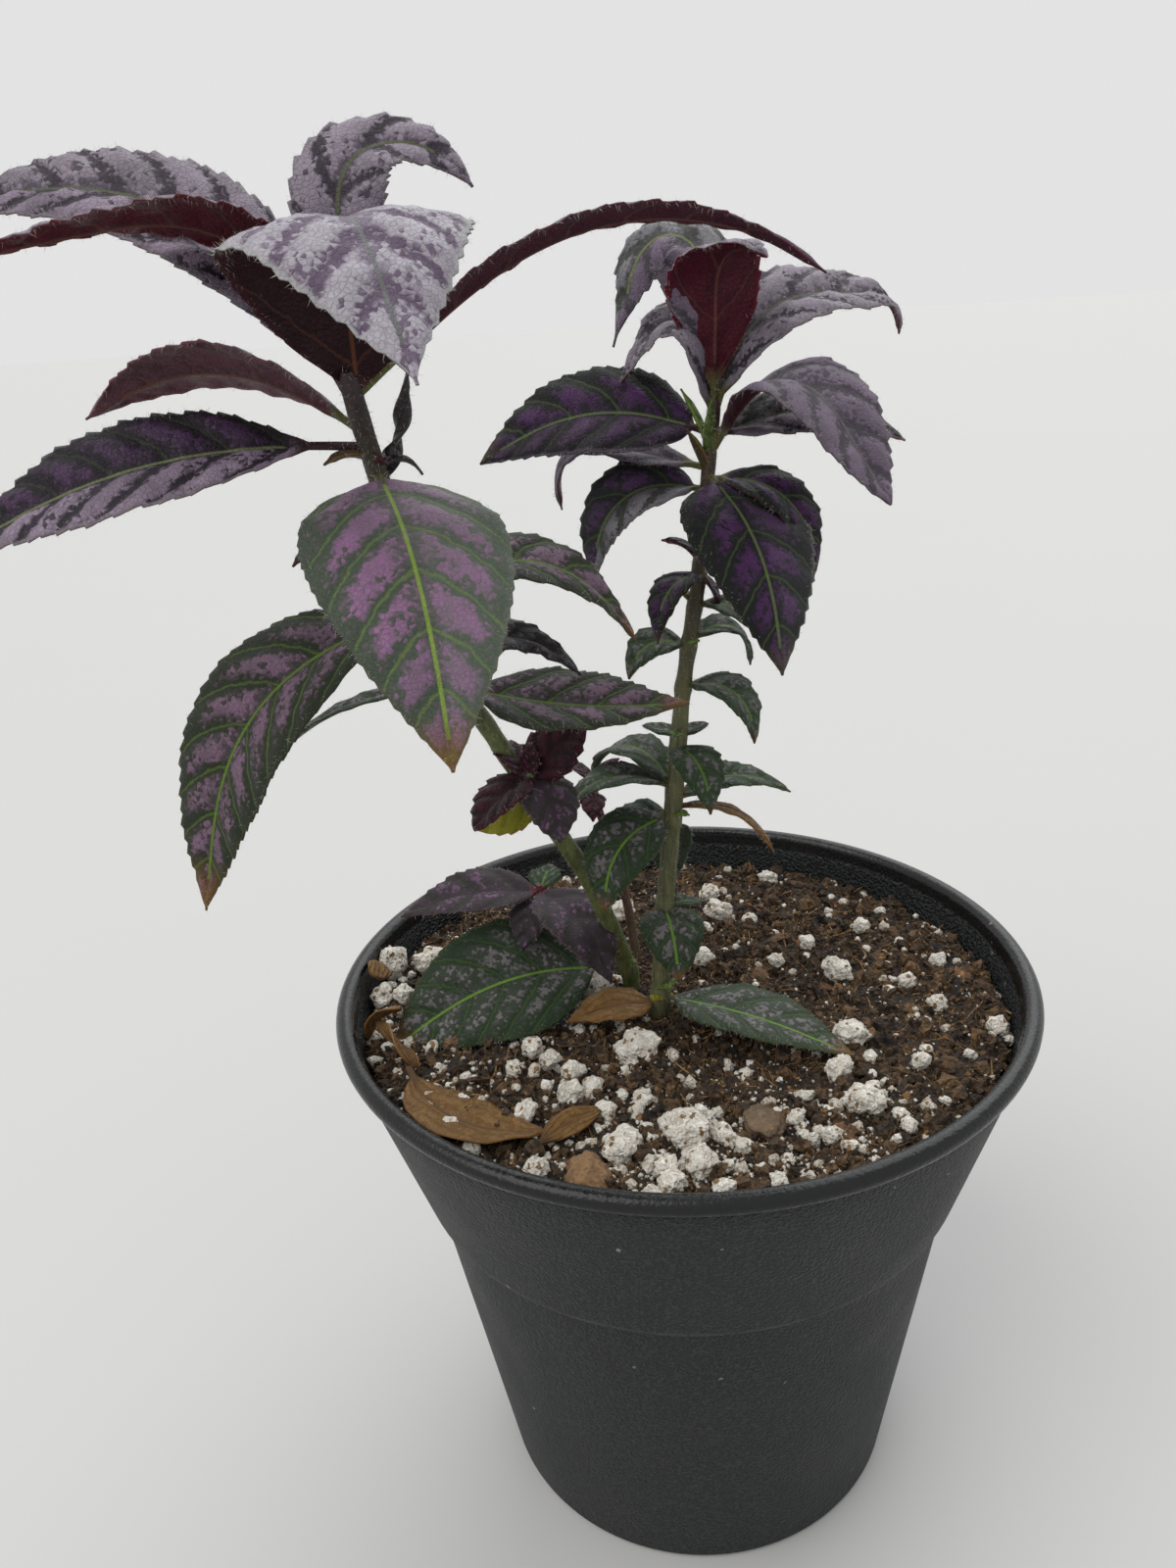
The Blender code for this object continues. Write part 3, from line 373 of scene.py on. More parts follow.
class Graph:
    """A short way to build one node tree; a value may be a plain one or a socket."""

    def __init__(self, tree: bpy.types.NodeTree) -> None:
        """Work on a node tree, which is to be filled."""
        self.tree = tree

    def fill(self, node: bpy.types.Node, inputs: dict) -> None:
        """Link sockets into a node's inputs, or set them to values.

        Args:
            node: The node.
            inputs: Input name or number to value.
        """
        for key, value in inputs.items():
            if isinstance(value, bpy.types.NodeSocket):
                self.tree.links.new(value, node.inputs[key])
            else:
                node.inputs[key].default_value = value

    def node(self, kind: str, inputs: dict | None = None, **settings: object) -> bpy.types.Node:
        """Add a node.

        Args:
            kind: The node's type name.
            inputs: Input name or number to value.
            settings: The node's own settings.

        Returns:
            The new node.
        """
        made = self.tree.nodes.new(kind)
        for key, value in settings.items():
            setattr(made, key, value)
        self.fill(made, inputs or {})
        return made

    def maths(self, operation: str, first: object, second: object = 0.0) -> bpy.types.NodeSocket:
        """Return the result of an operation on one or two values."""
        return self.node("ShaderNodeMath", {0: first, 1: second}, operation=operation).outputs[0]

    def plus(self, first: object, second: object) -> bpy.types.NodeSocket:
        """Return the sum of two values."""
        return self.maths('ADD', first, second)

    def minus(self, first: object, second: object) -> bpy.types.NodeSocket:
        """Return the first value less the second."""
        return self.maths('SUBTRACT', first, second)

    def times(self, first: object, second: object) -> bpy.types.NodeSocket:
        """Return the product of two values."""
        return self.maths('MULTIPLY', first, second)

    def larger(self, first: object, second: object) -> bpy.types.NodeSocket:
        """Return the larger of two values."""
        return self.maths('MAXIMUM', first, second)

    def shaken(self, value: object, chance: object, amount: float) -> bpy.types.NodeSocket:
        """Return a value moved by a chance from 0 to 1, over an amount that is the whole span."""
        return self.plus(value, self.times(self.minus(chance, 0.5), amount))

    def ease(self, value: object, low: object, high: object, start: float = 0.0,
             end: float = 1.0) -> bpy.types.NodeSocket:
        """Return a value eased from the start, at its low level, to the end, at its high level."""
        return self.node("ShaderNodeMapRange", {0: value, 1: low, 2: high, 3: start, 4: end},
                         interpolation_type='SMOOTHSTEP').outputs[0]

    def mix(self, share: object, first: object, second: object, blend: str = 'MIX') -> bpy.types.NodeSocket:
        """Return the mix of two colours, with this share of the second."""
        return self.node("ShaderNodeMix", {0: share, 6: first, 7: second}, data_type='RGBA',
                         blend_type=blend).outputs[2]

    def greys(self, share: object, low: float, high: float) -> bpy.types.NodeSocket:
        """Return a grey between two, as a colour to multiply with."""
        return self.mix(share, (low, low, low, 1.0), (high, high, high, 1.0))

    def noise(self, vector: object, scale: object, detail: float = 3.0,
              rough: float = 0.6) -> bpy.types.NodeSocket:
        """Return a noise with a scale per metre, its octaves and how strong the finer ones are."""
        return self.node("ShaderNodeTexNoise", {"Vector": vector, "Scale": scale, "Detail": detail,
                                                "Roughness": rough}).outputs["Fac"]

    def cells(self, vector: object, scale: object, feature: str = 'F1') -> bpy.types.NodeOutputs:
        """Return the outputs of a cell texture with a scale per metre."""
        return self.node("ShaderNodeTexVoronoi", {"Vector": vector, "Scale": scale}, feature=feature).outputs

    def attribute(self, name: str, output: str = "Fac") -> bpy.types.NodeSocket:
        """Return an attribute that is stored on the surface."""
        return self.node("ShaderNodeAttribute", attribute_name=name).outputs[output]

    def parts(self, value: object, kind: str = "XYZ") -> bpy.types.NodeOutputs:
        """Return the three parts of a vector, or of a colour where the kind says Color."""
        return self.node("ShaderNodeSeparate" + kind, {0: value}).outputs

    def group(self, tree: bpy.types.NodeTree, **inputs: object) -> bpy.types.NodeOutputs:
        """Return the outputs of a shader group that is placed with its own values."""
        return self.node("ShaderNodeGroup", inputs, node_tree=tree).outputs

    def bump(self, height: object, strength: float, distance: float) -> bpy.types.NodeSocket:
        """Return the normal that a height gives, where a height of 1 is a distance in metres."""
        return self.node("ShaderNodeBump", {"Strength": strength, "Distance": distance,
                                            "Height": height}).outputs[0]


def shader_group(name: str, inputs: dict, *outputs: str) -> tuple:
    """Start a shader effect that several finishes share.

    Args:
        name: The group's name.
        inputs: Input name to default number; it has a Vector input besides.
        outputs: The names of its number outputs.

    Returns:
        The graph, the group's inputs and its end.
    """
    tree = bpy.data.node_groups.new(name, 'ShaderNodeTree')
    add_inputs(tree, {"Vector": 'NodeSocketVector', **inputs})
    for label in outputs:
        tree.interface.new_socket(name=label, in_out='OUTPUT', socket_type='NodeSocketFloat')
    graph = Graph(tree)
    return graph, graph.node("NodeGroupInput").outputs, graph.node("NodeGroupOutput")


@cache
def grain_group() -> bpy.types.NodeTree:
    """Return the pebbled grain: two tones and a height that vary finely over a surface.

    Returns:
        The shader group.
    """
    graph, given, end = shader_group("surface_grain", {"Scale": 900.0, "Clumps": 60.0},
                                     "Tone", "Stipple", "Height")
    fine = graph.noise(given["Vector"], given["Scale"], 1.5, 0.5)
    coarse = graph.noise(given["Vector"], given["Clumps"], 3.0, 0.55)
    tone = graph.plus(graph.times(fine, 0.45), graph.times(coarse, 0.55))
    graph.fill(end, {"Tone": graph.ease(tone, 0.34, 0.66), "Stipple": graph.ease(fine, 0.38, 0.66),
                     "Height": graph.ease(fine, 0.3, 0.7)})
    return graph.tree


@cache
def speck_group() -> bpy.types.NodeTree:
    """Return sparse specks: a mask that is 1 on small scattered spots.

    Returns:
        The shader group.
    """
    graph, given, end = shader_group("scattered_specks", {"Scale": 150.0, "Size": 0.12, "Share": 0.3},
                                     "Mask")
    wobble = graph.node("ShaderNodeTexNoise", {"Vector": given["Vector"], "Scale": 700.0})
    moved = graph.node("ShaderNodeVectorMath", {0: wobble.outputs["Color"], "Scale": 0.0016},
                       operation='SCALE')
    place = graph.node("ShaderNodeVectorMath", {0: given["Vector"], 1: moved.outputs[0]}, operation='ADD')
    spots = graph.cells(place.outputs[0], given["Scale"])
    near = graph.maths('LESS_THAN', spots["Distance"], given["Size"])
    chosen = graph.maths('LESS_THAN', graph.parts(spots["Color"], "Color")[0], given["Share"])
    graph.fill(end, {"Mask": graph.times(near, chosen)})
    return graph.tree


@cache
def vein_group() -> bpy.types.NodeTree:
    """Return the net of veins of a leaf, from its phase along the side veins and its place across.

    Returns:
        The shader group.
    """
    graph, given, end = shader_group("leaf_vein_net", {
        "Phase": 0.0, "Across": 0.0, "Width": 0.3, "Reach": 0.8, "Blotch": 0.2},
        "Vein", "Line", "Net", "Height")
    place, across, reach = given["Vector"], given["Across"], given["Reach"]
    plus, minus, times, ease = graph.plus, graph.minus, graph.times, graph.ease
    chance = graph.parts(graph.cells(place, MESH_OF_VEINS)["Color"], "Color")
    phase = graph.shaken(given["Phase"], graph.noise(place, 380.0, 2.0), 0.22)
    offset = graph.maths('ABSOLUTE', minus(graph.maths('FRACT', phase), 0.5))
    from_vein = minus(1.0, times(offset, 2.0))
    rimmed = graph.maths('LESS_THAN', reach, 0.95)
    narrowing, widening = minus(1.2, times(across, 0.4)), plus(0.62, times(across, 0.95))
    change = graph.node("ShaderNodeMapRange", {0: rimmed, 3: narrowing, 4: widening}).outputs[0]
    half = times(given["Width"], change)
    band = ease(graph.shaken(from_vein, chance[0], 0.42), times(half, 0.5), times(half, 1.5), 1.0, 0.0)
    frayed = graph.shaken(across, chance[1], 0.24)
    rim = times(ease(frayed, minus(reach, 0.12), plus(reach, 0.08)), rimmed)
    core = ease(frayed, 0.02, 0.2, 0.8, 0.0)
    cloud = graph.shaken(graph.noise(place, 210.0), chance[2], 0.48)
    level = minus(0.80, times(given["Blotch"], 0.52))
    patch = ease(cloud, minus(level, 0.05), plus(level, 0.07), 0.0, 0.88)
    edges = graph.cells(place, MESH_OF_VEINS, 'DISTANCE_TO_EDGE')
    lines = ease(edges["Distance"], 0.02, 0.14, 1.0, 0.0)
    graph.fill(end, {"Vein": graph.larger(graph.larger(graph.larger(band, rim), core), patch),
                     "Line": ease(from_vein, 0.02, 0.11, 1.0, 0.0), "Net": lines,
                     "Height": minus(ease(from_vein, 0.0, 0.7), times(lines, 0.3))})
    return graph.tree


# Finishes
@dataclass(frozen=True)
class Finish:
    """A surface whose pattern is built from nodes."""

    name: str
    roughness: float = 0.6

    def start(self) -> tuple:
        """Start the finish's material.

        Returns:
            The material, its graph, its shader node and the object coordinates.
        """
        material = bpy.data.materials.new(self.name)
        material.use_nodes = True
        graph = Graph(material.node_tree)
        shader = material.node_tree.nodes["Principled BSDF"]
        shader.inputs["Roughness"].default_value = self.roughness
        return material, graph, shader, graph.node("ShaderNodeTexCoord").outputs["Object"]


@dataclass(frozen=True)
class PotPlastic(Finish):
    """Charcoal black plastic with a pebbled grain, a smoother bead and scattered dusty specks, with painted
    glints in the grain, a painted highlight along the step and painted shade on the inner wall.
    """

    colour: tuple = (0.108, 0.119, 0.122)
    bead_colour: tuple = (0.05, 0.056, 0.06)
    # Near-black painted shade on the inner wall above the soil
    inner_wall_shade: tuple = (0.045, 0.047, 0.052)
    # Pale colour of the dust specks, and of the painted highlight along the step
    dust_and_highlight: tuple = (0.62, 0.60, 0.55)
    shine: float = 0.36
    step_level: float = 0.0815
    bead_level: float = 0.1202

    def make(self) -> bpy.types.Material:
        """Build the finish.

        Returns:
            The material.
        """
        material, graph, shader, place = self.start()
        plus, minus, times, ease = graph.plus, graph.minus, graph.times, graph.ease
        level = graph.parts(place)[2]
        grain = graph.group(grain_group(), Vector=place, Scale=1500.0, Clumps=45.0)
        bead = ease(level, self.bead_level - 0.001, self.bead_level + 0.0006)
        base = graph.mix(bead, linear(self.colour), linear(self.bead_colour))
        # The grain's tone, with the fine stipple lifted up to 1.75 times as painted glints of light on the
        # pebbles
        light = graph.mix(1.0, graph.greys(grain["Tone"], 0.72, 1.3),
                          graph.greys(grain["Stipple"], 0.42, 1.75), 'MULTIPLY')
        base = graph.mix(minus(1.0, times(bead, 0.85)), base, light, 'MULTIPLY')
        # Painted highlight: a soft pale line along the step below the band, broken up by noise
        above = ease(level, self.step_level - 0.0009, self.step_level - 0.0002)
        below = ease(level, self.step_level + 0.0004, self.step_level + 0.0012, 1.0, 0.0)
        step_highlight = times(times(above, below), ease(graph.noise(place, 180.0), 0.35, 0.6, 0.25, 1.0))
        base = graph.mix(times(step_highlight, 0.10), base, linear(self.dust_and_highlight))
        specks = graph.group(speck_group(), Vector=place, Scale=170.0, Size=0.075, Share=0.16)
        base = graph.mix(times(specks["Mask"], 0.55), base, linear(self.dust_and_highlight))
        # Painted shade: the inner wall above the soil is darkened to near black
        base = graph.mix(graph.attribute("inside"), base, linear(self.inner_wall_shade))
        height = times(grain["Height"], minus(1.0, times(bead, 0.92)))
        graph.fill(shader, {
            "Base Color": base, "Specular IOR Level": self.shine,
            "Roughness": minus(plus(times(grain["Tone"], 0.16), 0.44), times(bead, 0.27)),
            "Normal": graph.bump(height, 1.0, 0.0005)})
        return material


@dataclass(frozen=True)
class EarthFinish(Finish):
    """Crumbly matter with two tones, pale flecks and a rough height."""

    dark: tuple = (0.065, 0.048, 0.037)
    light: tuple = (0.48, 0.37, 0.25)
    fleck: tuple = (0.55, 0.41, 0.25)
    fleck_share: float = 0.08
    scale: float = 1100.0
    clumps: float = 240.0
    relief: float = 0.0004
    contrast: float = 1.0
    fleck_size: float = 0.3

    def make(self) -> bpy.types.Material:
        """Build the finish.

        Returns:
            The material.
        """
        material, graph, shader, place = self.start()
        grain = graph.group(grain_group(), Vector=place, Scale=self.scale, Clumps=self.clumps)
        tone = graph.plus(graph.times(grain["Tone"], 0.5), graph.times(graph.attribute("shade"), 0.5))
        tone = graph.maths('POWER', tone, self.contrast)
        specks = graph.group(speck_group(), Vector=place, Scale=620.0, Size=self.fleck_size,
                             Share=self.fleck_share)
        base = graph.mix(tone, linear(self.dark), linear(self.light))
        graph.fill(shader, {"Base Color": graph.mix(specks["Mask"], base, linear(self.fleck)),
                            "Roughness": graph.plus(graph.times(grain["Tone"], 0.1), 0.85),
                            "Normal": graph.bump(grain["Height"], 0.9, self.relief)})
        return material


@dataclass(frozen=True)
class StemSkin(Finish):
    """Green to brown bark of a soft stem, streaked along its length."""

    def make(self) -> bpy.types.Material:
        """Build the finish.

        Returns:
            The material.
        """
        material, graph, shader, place = self.start()
        squeeze = graph.node("ShaderNodeMapping", {"Vector": place, "Scale": (1.0, 1.0, 0.16)}).outputs[0]
        grain = graph.group(grain_group(), Vector=squeeze, Scale=1600.0, Clumps=300.0)
        streak = graph.mix(grain["Tone"], (0.62, 0.60, 0.58, 1.0), (1.4, 1.35, 1.25, 1.0))
        base = graph.mix(1.0, graph.attribute("tone", "Color"), streak, 'MULTIPLY')
        graph.fill(shader, {"Base Color": base, "Normal": graph.bump(grain["Height"], 0.6, 0.00015)})
        return material


@dataclass(frozen=True)
class LeafSkin(Finish):
    """Leaf surface: panels between side veins, a paler midrib and a coloured margin."""

    shine: float = 0.2
    sheen: float = 0.03

    def make(self) -> bpy.types.Material:
        """Build the finish.

        Returns:
            The material.
        """
        material, graph, shader, place = self.start()
        panel, vein, edge, rib = (graph.attribute(name, "Color") for name in ("panel", "vein", "edge", "rib"))
        phase, across, from_rib = graph.parts(graph.attribute("shape", "Vector"))
        width, reach, blotch = graph.parts(graph.attribute("state", "Vector"))
        net = graph.group(vein_group(), Vector=place, Phase=phase, Across=across, Width=width,
                          Reach=reach, Blotch=blotch)
        panel = graph.mix(graph.ease(graph.noise(place, 130.0), 0.35, 0.7, 0.0, 0.45), panel, vein)
        base = graph.mix(net["Vein"], panel, vein)
        base = graph.mix(graph.times(net["Net"], 0.15), base, vein)
        base = graph.mix(graph.times(net["Line"], graph.attribute("line")), base, rib)
        # The margin colour; on the silvery looks its paleness is partly painted sheen
        base = graph.mix(graph.ease(across, 0.9, 0.99), base, edge)
        base = graph.mix(graph.ease(from_rib, 0.14, 0.42, 0.92, 0.0), base, rib)
        grain = graph.noise(place, 2600.0, 2.0)
        height = graph.plus(net["Height"], graph.times(grain, 0.3))
        graph.fill(shader, {
            "Base Color": graph.mix(1.0, base, graph.greys(grain, 0.72, 1.24), 'MULTIPLY'),
            "Roughness": graph.plus(graph.times(net["Vein"], 0.12), self.roughness),
            "Specular IOR Level": self.shine, "Sheen Weight": self.sheen, "Sheen Roughness": 0.5,
            "Normal": graph.bump(height, 0.7, 0.0004)})
        return material


@dataclass(frozen=True)
class PlainFinish(Finish):
    """One colour that varies a little, as on fine hairs and the floor."""

    colour: tuple = (0.80, 0.78, 0.74)
    scale: float = 300.0
    darkest: float = 0.7
    lightest: float = 1.1

    def make(self) -> bpy.types.Material:
        """Build the finish.

        Returns:
            The material.
        """
        material, graph, shader, place = self.start()
        tint = graph.greys(graph.noise(place, self.scale), self.darkest, self.lightest)
        graph.fill(shader, {"Base Color": graph.mix(1.0, linear(self.colour), tint, 'MULTIPLY')})
        return material


# Meshes
def store(mesh: bpy.types.Mesh, name: str, values: np.ndarray, kind: str = 'FLOAT') -> None:
    """Store one value, vector or colour for each point of a mesh."""
    part = {'FLOAT': "value", 'FLOAT_VECTOR': "vector", 'FLOAT_COLOR': "color"}[kind]
    mesh.attributes.new(name, kind, 'POINT').data.foreach_set(part, np.asarray(values, np.float32).ravel())


def with_alpha(colours: np.ndarray) -> np.ndarray:
    """Return rows of red, green and blue with full alpha added."""
    return np.concatenate([colours, np.ones((len(colours), 1))], 1)


def add_shade(mesh: bpy.types.Mesh, value: float) -> None:
    """Store one tone, from 0, dark, to 1, light, on all points of a mesh."""
    store(mesh, "shade", np.full(len(mesh.vertices), value))


def places_of(mesh: bpy.types.Mesh) -> np.ndarray:
    """Return the places of a mesh's points.

    Args:
        mesh: The mesh.

    Returns:
        One row for each point, in metres.
    """
    places = np.zeros(len(mesh.vertices) * 3, np.float32)
    mesh.vertices.foreach_get("co", places)
    return places.reshape(-1, 3)


def smooth(mesh: bpy.types.Mesh, wanted: bool = True) -> None:
    """Shade all faces of a mesh smooth, or flat where that isn't wanted."""
    mesh.polygons.foreach_set("use_smooth", [wanted] * len(mesh.polygons))


def mesh_from(name: str, points: np.ndarray, faces: list) -> bpy.types.Mesh:
    """Make a smooth mesh from points in millimetres.

    Args:
        name: The mesh's name.
        points: The points, in millimetres.
        faces: The faces, as point numbers.

    Returns:
        The mesh.
    """
    mesh = bpy.data.meshes.new(name)
    mesh.from_pydata((np.asarray(points, float) * METRES).tolist(), [], faces)
    mesh.validate()
    smooth(mesh)
    return mesh


def mesh_of(work: bmesh.types.BMesh, name: str) -> bpy.types.Mesh:
    """Turn what was built in a BMesh into a mesh, and free the BMesh.

    Args:
        work: What was built.
        name: The mesh's name.

    Returns:
        The mesh.
    """
    mesh = bpy.data.meshes.new(name)
    work.to_mesh(mesh)
    work.free()
    return mesh


def evaluated(item: bpy.types.Object) -> bpy.types.Mesh:
    """Apply an object's modifiers, and remove the object.

    Args:
        item: The object.

    Returns:
        Its plain mesh.
    """
    graph = bpy.context.evaluated_depsgraph_get()
    graph.update()
    mesh = bpy.data.meshes.new_from_object(item.evaluated_get(graph))
    item.modifiers.clear()
    bpy.data.objects.remove(item, do_unlink=True)
    return mesh


def ring_faces(first: int, rings: int, count: int) -> list:
    """Join rings of points that lie one after another.

    Args:
        first: The first point's number.
        rings: How many rows of faces.
        count: Points in a ring.

    Returns:
        The faces.
    """
    starts = [(first + ring * count + i, first + ring * count + (i + 1) % count)
              for ring in range(rings) for i in range(count)]
    return [(a, a + count, b + count, b) for a, b in starts]


def keep_in_pot(mesh: bpy.types.Mesh) -> None:
    """Push the points of a mesh that would cross the pot's inner wall back against it.

    Args:
        mesh: Grains or fibres that lie on the soil.
    """
    places = places_of(mesh)
    limit = INNER_RADIUS - np.maximum(0.0, INNER_LEVEL - places[:, 2] / METRES) * INNER_SLOPE
    reach = np.maximum(np.hypot(places[:, 0], places[:, 1]) / METRES, 1.0)
    places[:, :2] *= np.minimum(1.0, limit / reach)[:, None]
    mesh.vertices.foreach_set("co", places.ravel())
    mesh.update()


def add_object(name: str, mesh: bpy.types.Mesh, material: bpy.types.Material | None) -> bpy.types.Object:
    """Link a mesh into the scene.

    Args:
        name: The object's name.
        mesh: Its mesh.
        material: Its finish, or none to keep the mesh's own.

    Returns:
        The object.
    """
    if material is not None:
        mesh.materials.clear()
        mesh.materials.append(material)
    item = bpy.data.objects.new(name, mesh)
    bpy.context.scene.collection.objects.link(item)
    return item


def carry(item: bpy.types.Object, slot: str, *nodes: str) -> None:
    """Let a piece ride on the body and let it stand for CAD nodes.

    Args:
        item: The piece.
        slot: The record's material slot; not used.
        nodes: CAD nodes that it replaces.
    """
    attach(item, "root")
    if nodes:
        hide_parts(*nodes)
    LOG.info("%s: %d points, %d faces", item.name, len(item.data.vertices), len(item.data.polygons))


# Geometry trees
class GeometryTree:
    """A geometry node tree with named inputs, and the way to run it on an object."""

    name: str = ""
    inputs: dict = {}

    def __init__(self) -> None:
        """Build the tree; it ends in plain geometry with its material."""
        self.tree = bpy.data.node_groups.new(self.name, 'GeometryNodeTree')
        self.sockets = add_inputs(self.tree, {"Geometry": GEOMETRY, **self.inputs,
                                              "Finish": 'NodeSocketMaterial'})
        self.tree.interface.new_socket(name="Geometry", in_out='OUTPUT', socket_type=GEOMETRY)
        self.graph = Graph(self.tree)
        self.given = self.graph.node("NodeGroupInput").outputs
        real = self.graph.node("GeometryNodeRealizeInstances", {0: self.build()}).outputs[0]
        made = self.graph.node("GeometryNodeSetMaterial", {
            "Geometry": real, "Material": self.given["Finish"]})
        self.graph.node("NodeGroupOutput", {"Geometry": made.outputs[0]})

    def build(self) -> bpy.types.NodeSocket:
        """Return what the tree makes; each kind of tree has its own."""
        return self.given["Geometry"]

    def stored(self, name: str) -> bpy.types.NodeSocket:
        """Return a number that is stored on the mesh."""
        return self.graph.node("GeometryNodeInputNamedAttribute", {"Name": name},
                               data_type='FLOAT').outputs[0]

    def sown(self, density: bpy.types.NodeSocket) -> bpy.types.NodeOutputs:
        """Return points that are strewn over the surface with a density."""
        return self.graph.node("GeometryNodeDistributePointsOnFaces", {
            "Mesh": self.given["Geometry"], "Density": density, "Seed": self.given["Seed"]}).outputs

    def chance(self, low: float, high: float, seed: object = None) -> bpy.types.NodeSocket:
        """Add a random number.

        Args:
            low: The least it can be.
            high: The most it can be.
            seed: Its seed, or none for the tree's own.

        Returns:
            The number.
        """
        seed = self.given["Seed"] if seed is None else seed
        return self.graph.node("FunctionNodeRandomValue", {2: low, 3: high, "Seed": seed},
                               data_type='FLOAT').outputs[1]

    def spread(self, *most: object) -> bpy.types.NodeSocket:
        """Add a random vector.

        Args:
            most: The largest size of each of its three parts.

        Returns:
            The vector.
        """
        ends = [self.graph.node("ShaderNodeCombineXYZ", {
            axis: self.graph.times(part, sign) for axis, part in enumerate(most)}).outputs[0]
                for sign in (-1.0, 1.0)]
        return self.graph.node("FunctionNodeRandomValue", {
            0: ends[0], 1: ends[1], "Seed": self.given["Seed"]}, data_type='FLOAT_VECTOR').outputs[0]

    def run(self, name: str, source: bpy.types.Mesh, values: dict) -> bpy.types.Mesh:
        """Run the tree on a mesh and return the plain result.

        Args:
            name: The result's name.
            source: The mesh that it starts from.
            values: Input name to value.

        Returns:
            The new mesh.
        """
        carrier = add_object(name + "_source", source, None)
        step = carrier.modifiers.new("tree", 'NODES')
        step.node_group = self.tree
        for label, value in values.items():
            step[self.sockets[label]] = value
        mesh = evaluated(carrier)
        mesh.name = name
        return mesh


class SweepTree(GeometryTree):
    """Sweeps a round section of changing radius along a path."""

    name = "stem_sweep"
    inputs = {"Sides": 14}

    def build(self) -> bpy.types.NodeSocket:
        """Turn the path into a curve, with a round section along it.

        Returns:
            The swept surface.
        """
        graph = self.graph
        curve = graph.node("GeometryNodeMeshToCurve", {"Mesh": self.given["Geometry"]}).outputs[0]
        radius = self.stored("radius")
        sized = graph.node("GeometryNodeSetCurveRadius", {"Curve": curve, "Radius": radius}).outputs[0]
        ring = graph.node("GeometryNodeCurvePrimitiveCircle", {"Resolution": self.given["Sides"],
                                                               "Radius": 1.0}).outputs[0]
        swept = graph.node("GeometryNodeCurveToMesh", {"Curve": sized, "Profile Curve": ring,
                                                       "Scale": radius, "Fill Caps": True}).outputs[0]
        return graph.node("GeometryNodeSetShadeSmooth", {0: swept}).outputs[0]


class LatheTree(GeometryTree):
    """Turns a closed section, given as radius and height, round the upright axis."""

    name = "turned_section"
    inputs = {"Sides": 144, "Count": 10}

    def build(self) -> bpy.types.NodeSocket:
        """Put a grid of section points by sides on its circles, with the seams merged.

        Returns:
            The turned surface.
        """
        graph, times, divide = self.graph, self.graph.times, 'DIVIDE'
        rows = graph.plus(self.given["Sides"], 1.0)
        grid = graph.node("GeometryNodeMeshGrid", {"Size X": 1.0, "Size Y": 1.0,
                                                   "Vertices X": self.given["Count"], "Vertices Y": rows})
        index = graph.node("GeometryNodeInputIndex").outputs[0]
        step = graph.maths('MODULO', index, rows)
        rank = graph.maths('FLOOR', graph.maths(divide, graph.plus(index, 0.5), rows))
        sampled = graph.node("GeometryNodeSampleIndex", {
            "Geometry": self.given["Geometry"], "Value": graph.node("GeometryNodeInputPosition").outputs[0],
            "Index": rank}, data_type='FLOAT_VECTOR', domain='POINT').outputs[0]
        radius, _, level = graph.parts(sampled)
        angle = times(graph.maths(divide, step, self.given["Sides"]), 2 * math.pi)
        place = graph.node("ShaderNodeCombineXYZ", {0: times(radius, graph.maths('COSINE', angle)),
                                                    1: times(radius, graph.maths('SINE', angle)), 2: level})
        moved = graph.node("GeometryNodeSetPosition", {"Geometry": grid.outputs[0],
                                                       "Position": place.outputs[0]}).outputs[0]
        merged = graph.node("GeometryNodeMergeByDistance", {"Geometry": moved,
                                                            "Distance": MERGE_DISTANCE}).outputs[0]
        return graph.node("GeometryNodeSetShadeSmooth", {0: merged}).outputs[0]


class ScatterTree(GeometryTree):
    """Scatters small shapes over a surface, each turned and sized at random."""

    name = "scattered_grains"
    inputs = {"Shapes": 'NodeSocketCollection', "Density": 1000.0, "Crowding": 0.0, "Smallest": 0.5,
              "Largest": 2.0, "Favour": 2.0, "Tilt": 3.14, "Seed": 1}

    def build(self) -> bpy.types.NodeSocket:
        """Strew points on the surface, with a shape on each.

        Returns:
            The placed shapes.
        """
        graph, given = self.graph, self.given
        crowding = given["Crowding"]
        weight = graph.plus(graph.minus(1.0, crowding), graph.times(self.stored("crowd"), crowding))
        points = self.sown(graph.times(given["Density"], weight))
        shapes = graph.node("GeometryNodeCollectionInfo", {
            "Collection": given["Shapes"], "Separate Children": True, "Reset Children": True})
        skewed = graph.maths('POWER', self.chance(0.0, 1.0), given["Favour"])
        size = graph.node("ShaderNodeMapRange", {0: skewed, 1: 0.0, 2: 1.0, 3: given["Smallest"],
                                                 4: given["Largest"]}).outputs[0]
        placed = graph.node("GeometryNodeInstanceOnPoints", {
            "Points": points[0], "Instance": shapes.outputs[0], "Pick Instance": True,
            "Rotation": self.spread(given["Tilt"], given["Tilt"], math.pi), "Scale": size})
        return graph.node("GeometryNodeStoreNamedAttribute", {
            "Geometry": placed.outputs[0], "Name": "shade", "Value": self.chance(0.0, 1.0, TONE_SEED)},
            data_type='FLOAT', domain='INSTANCE').outputs[0]


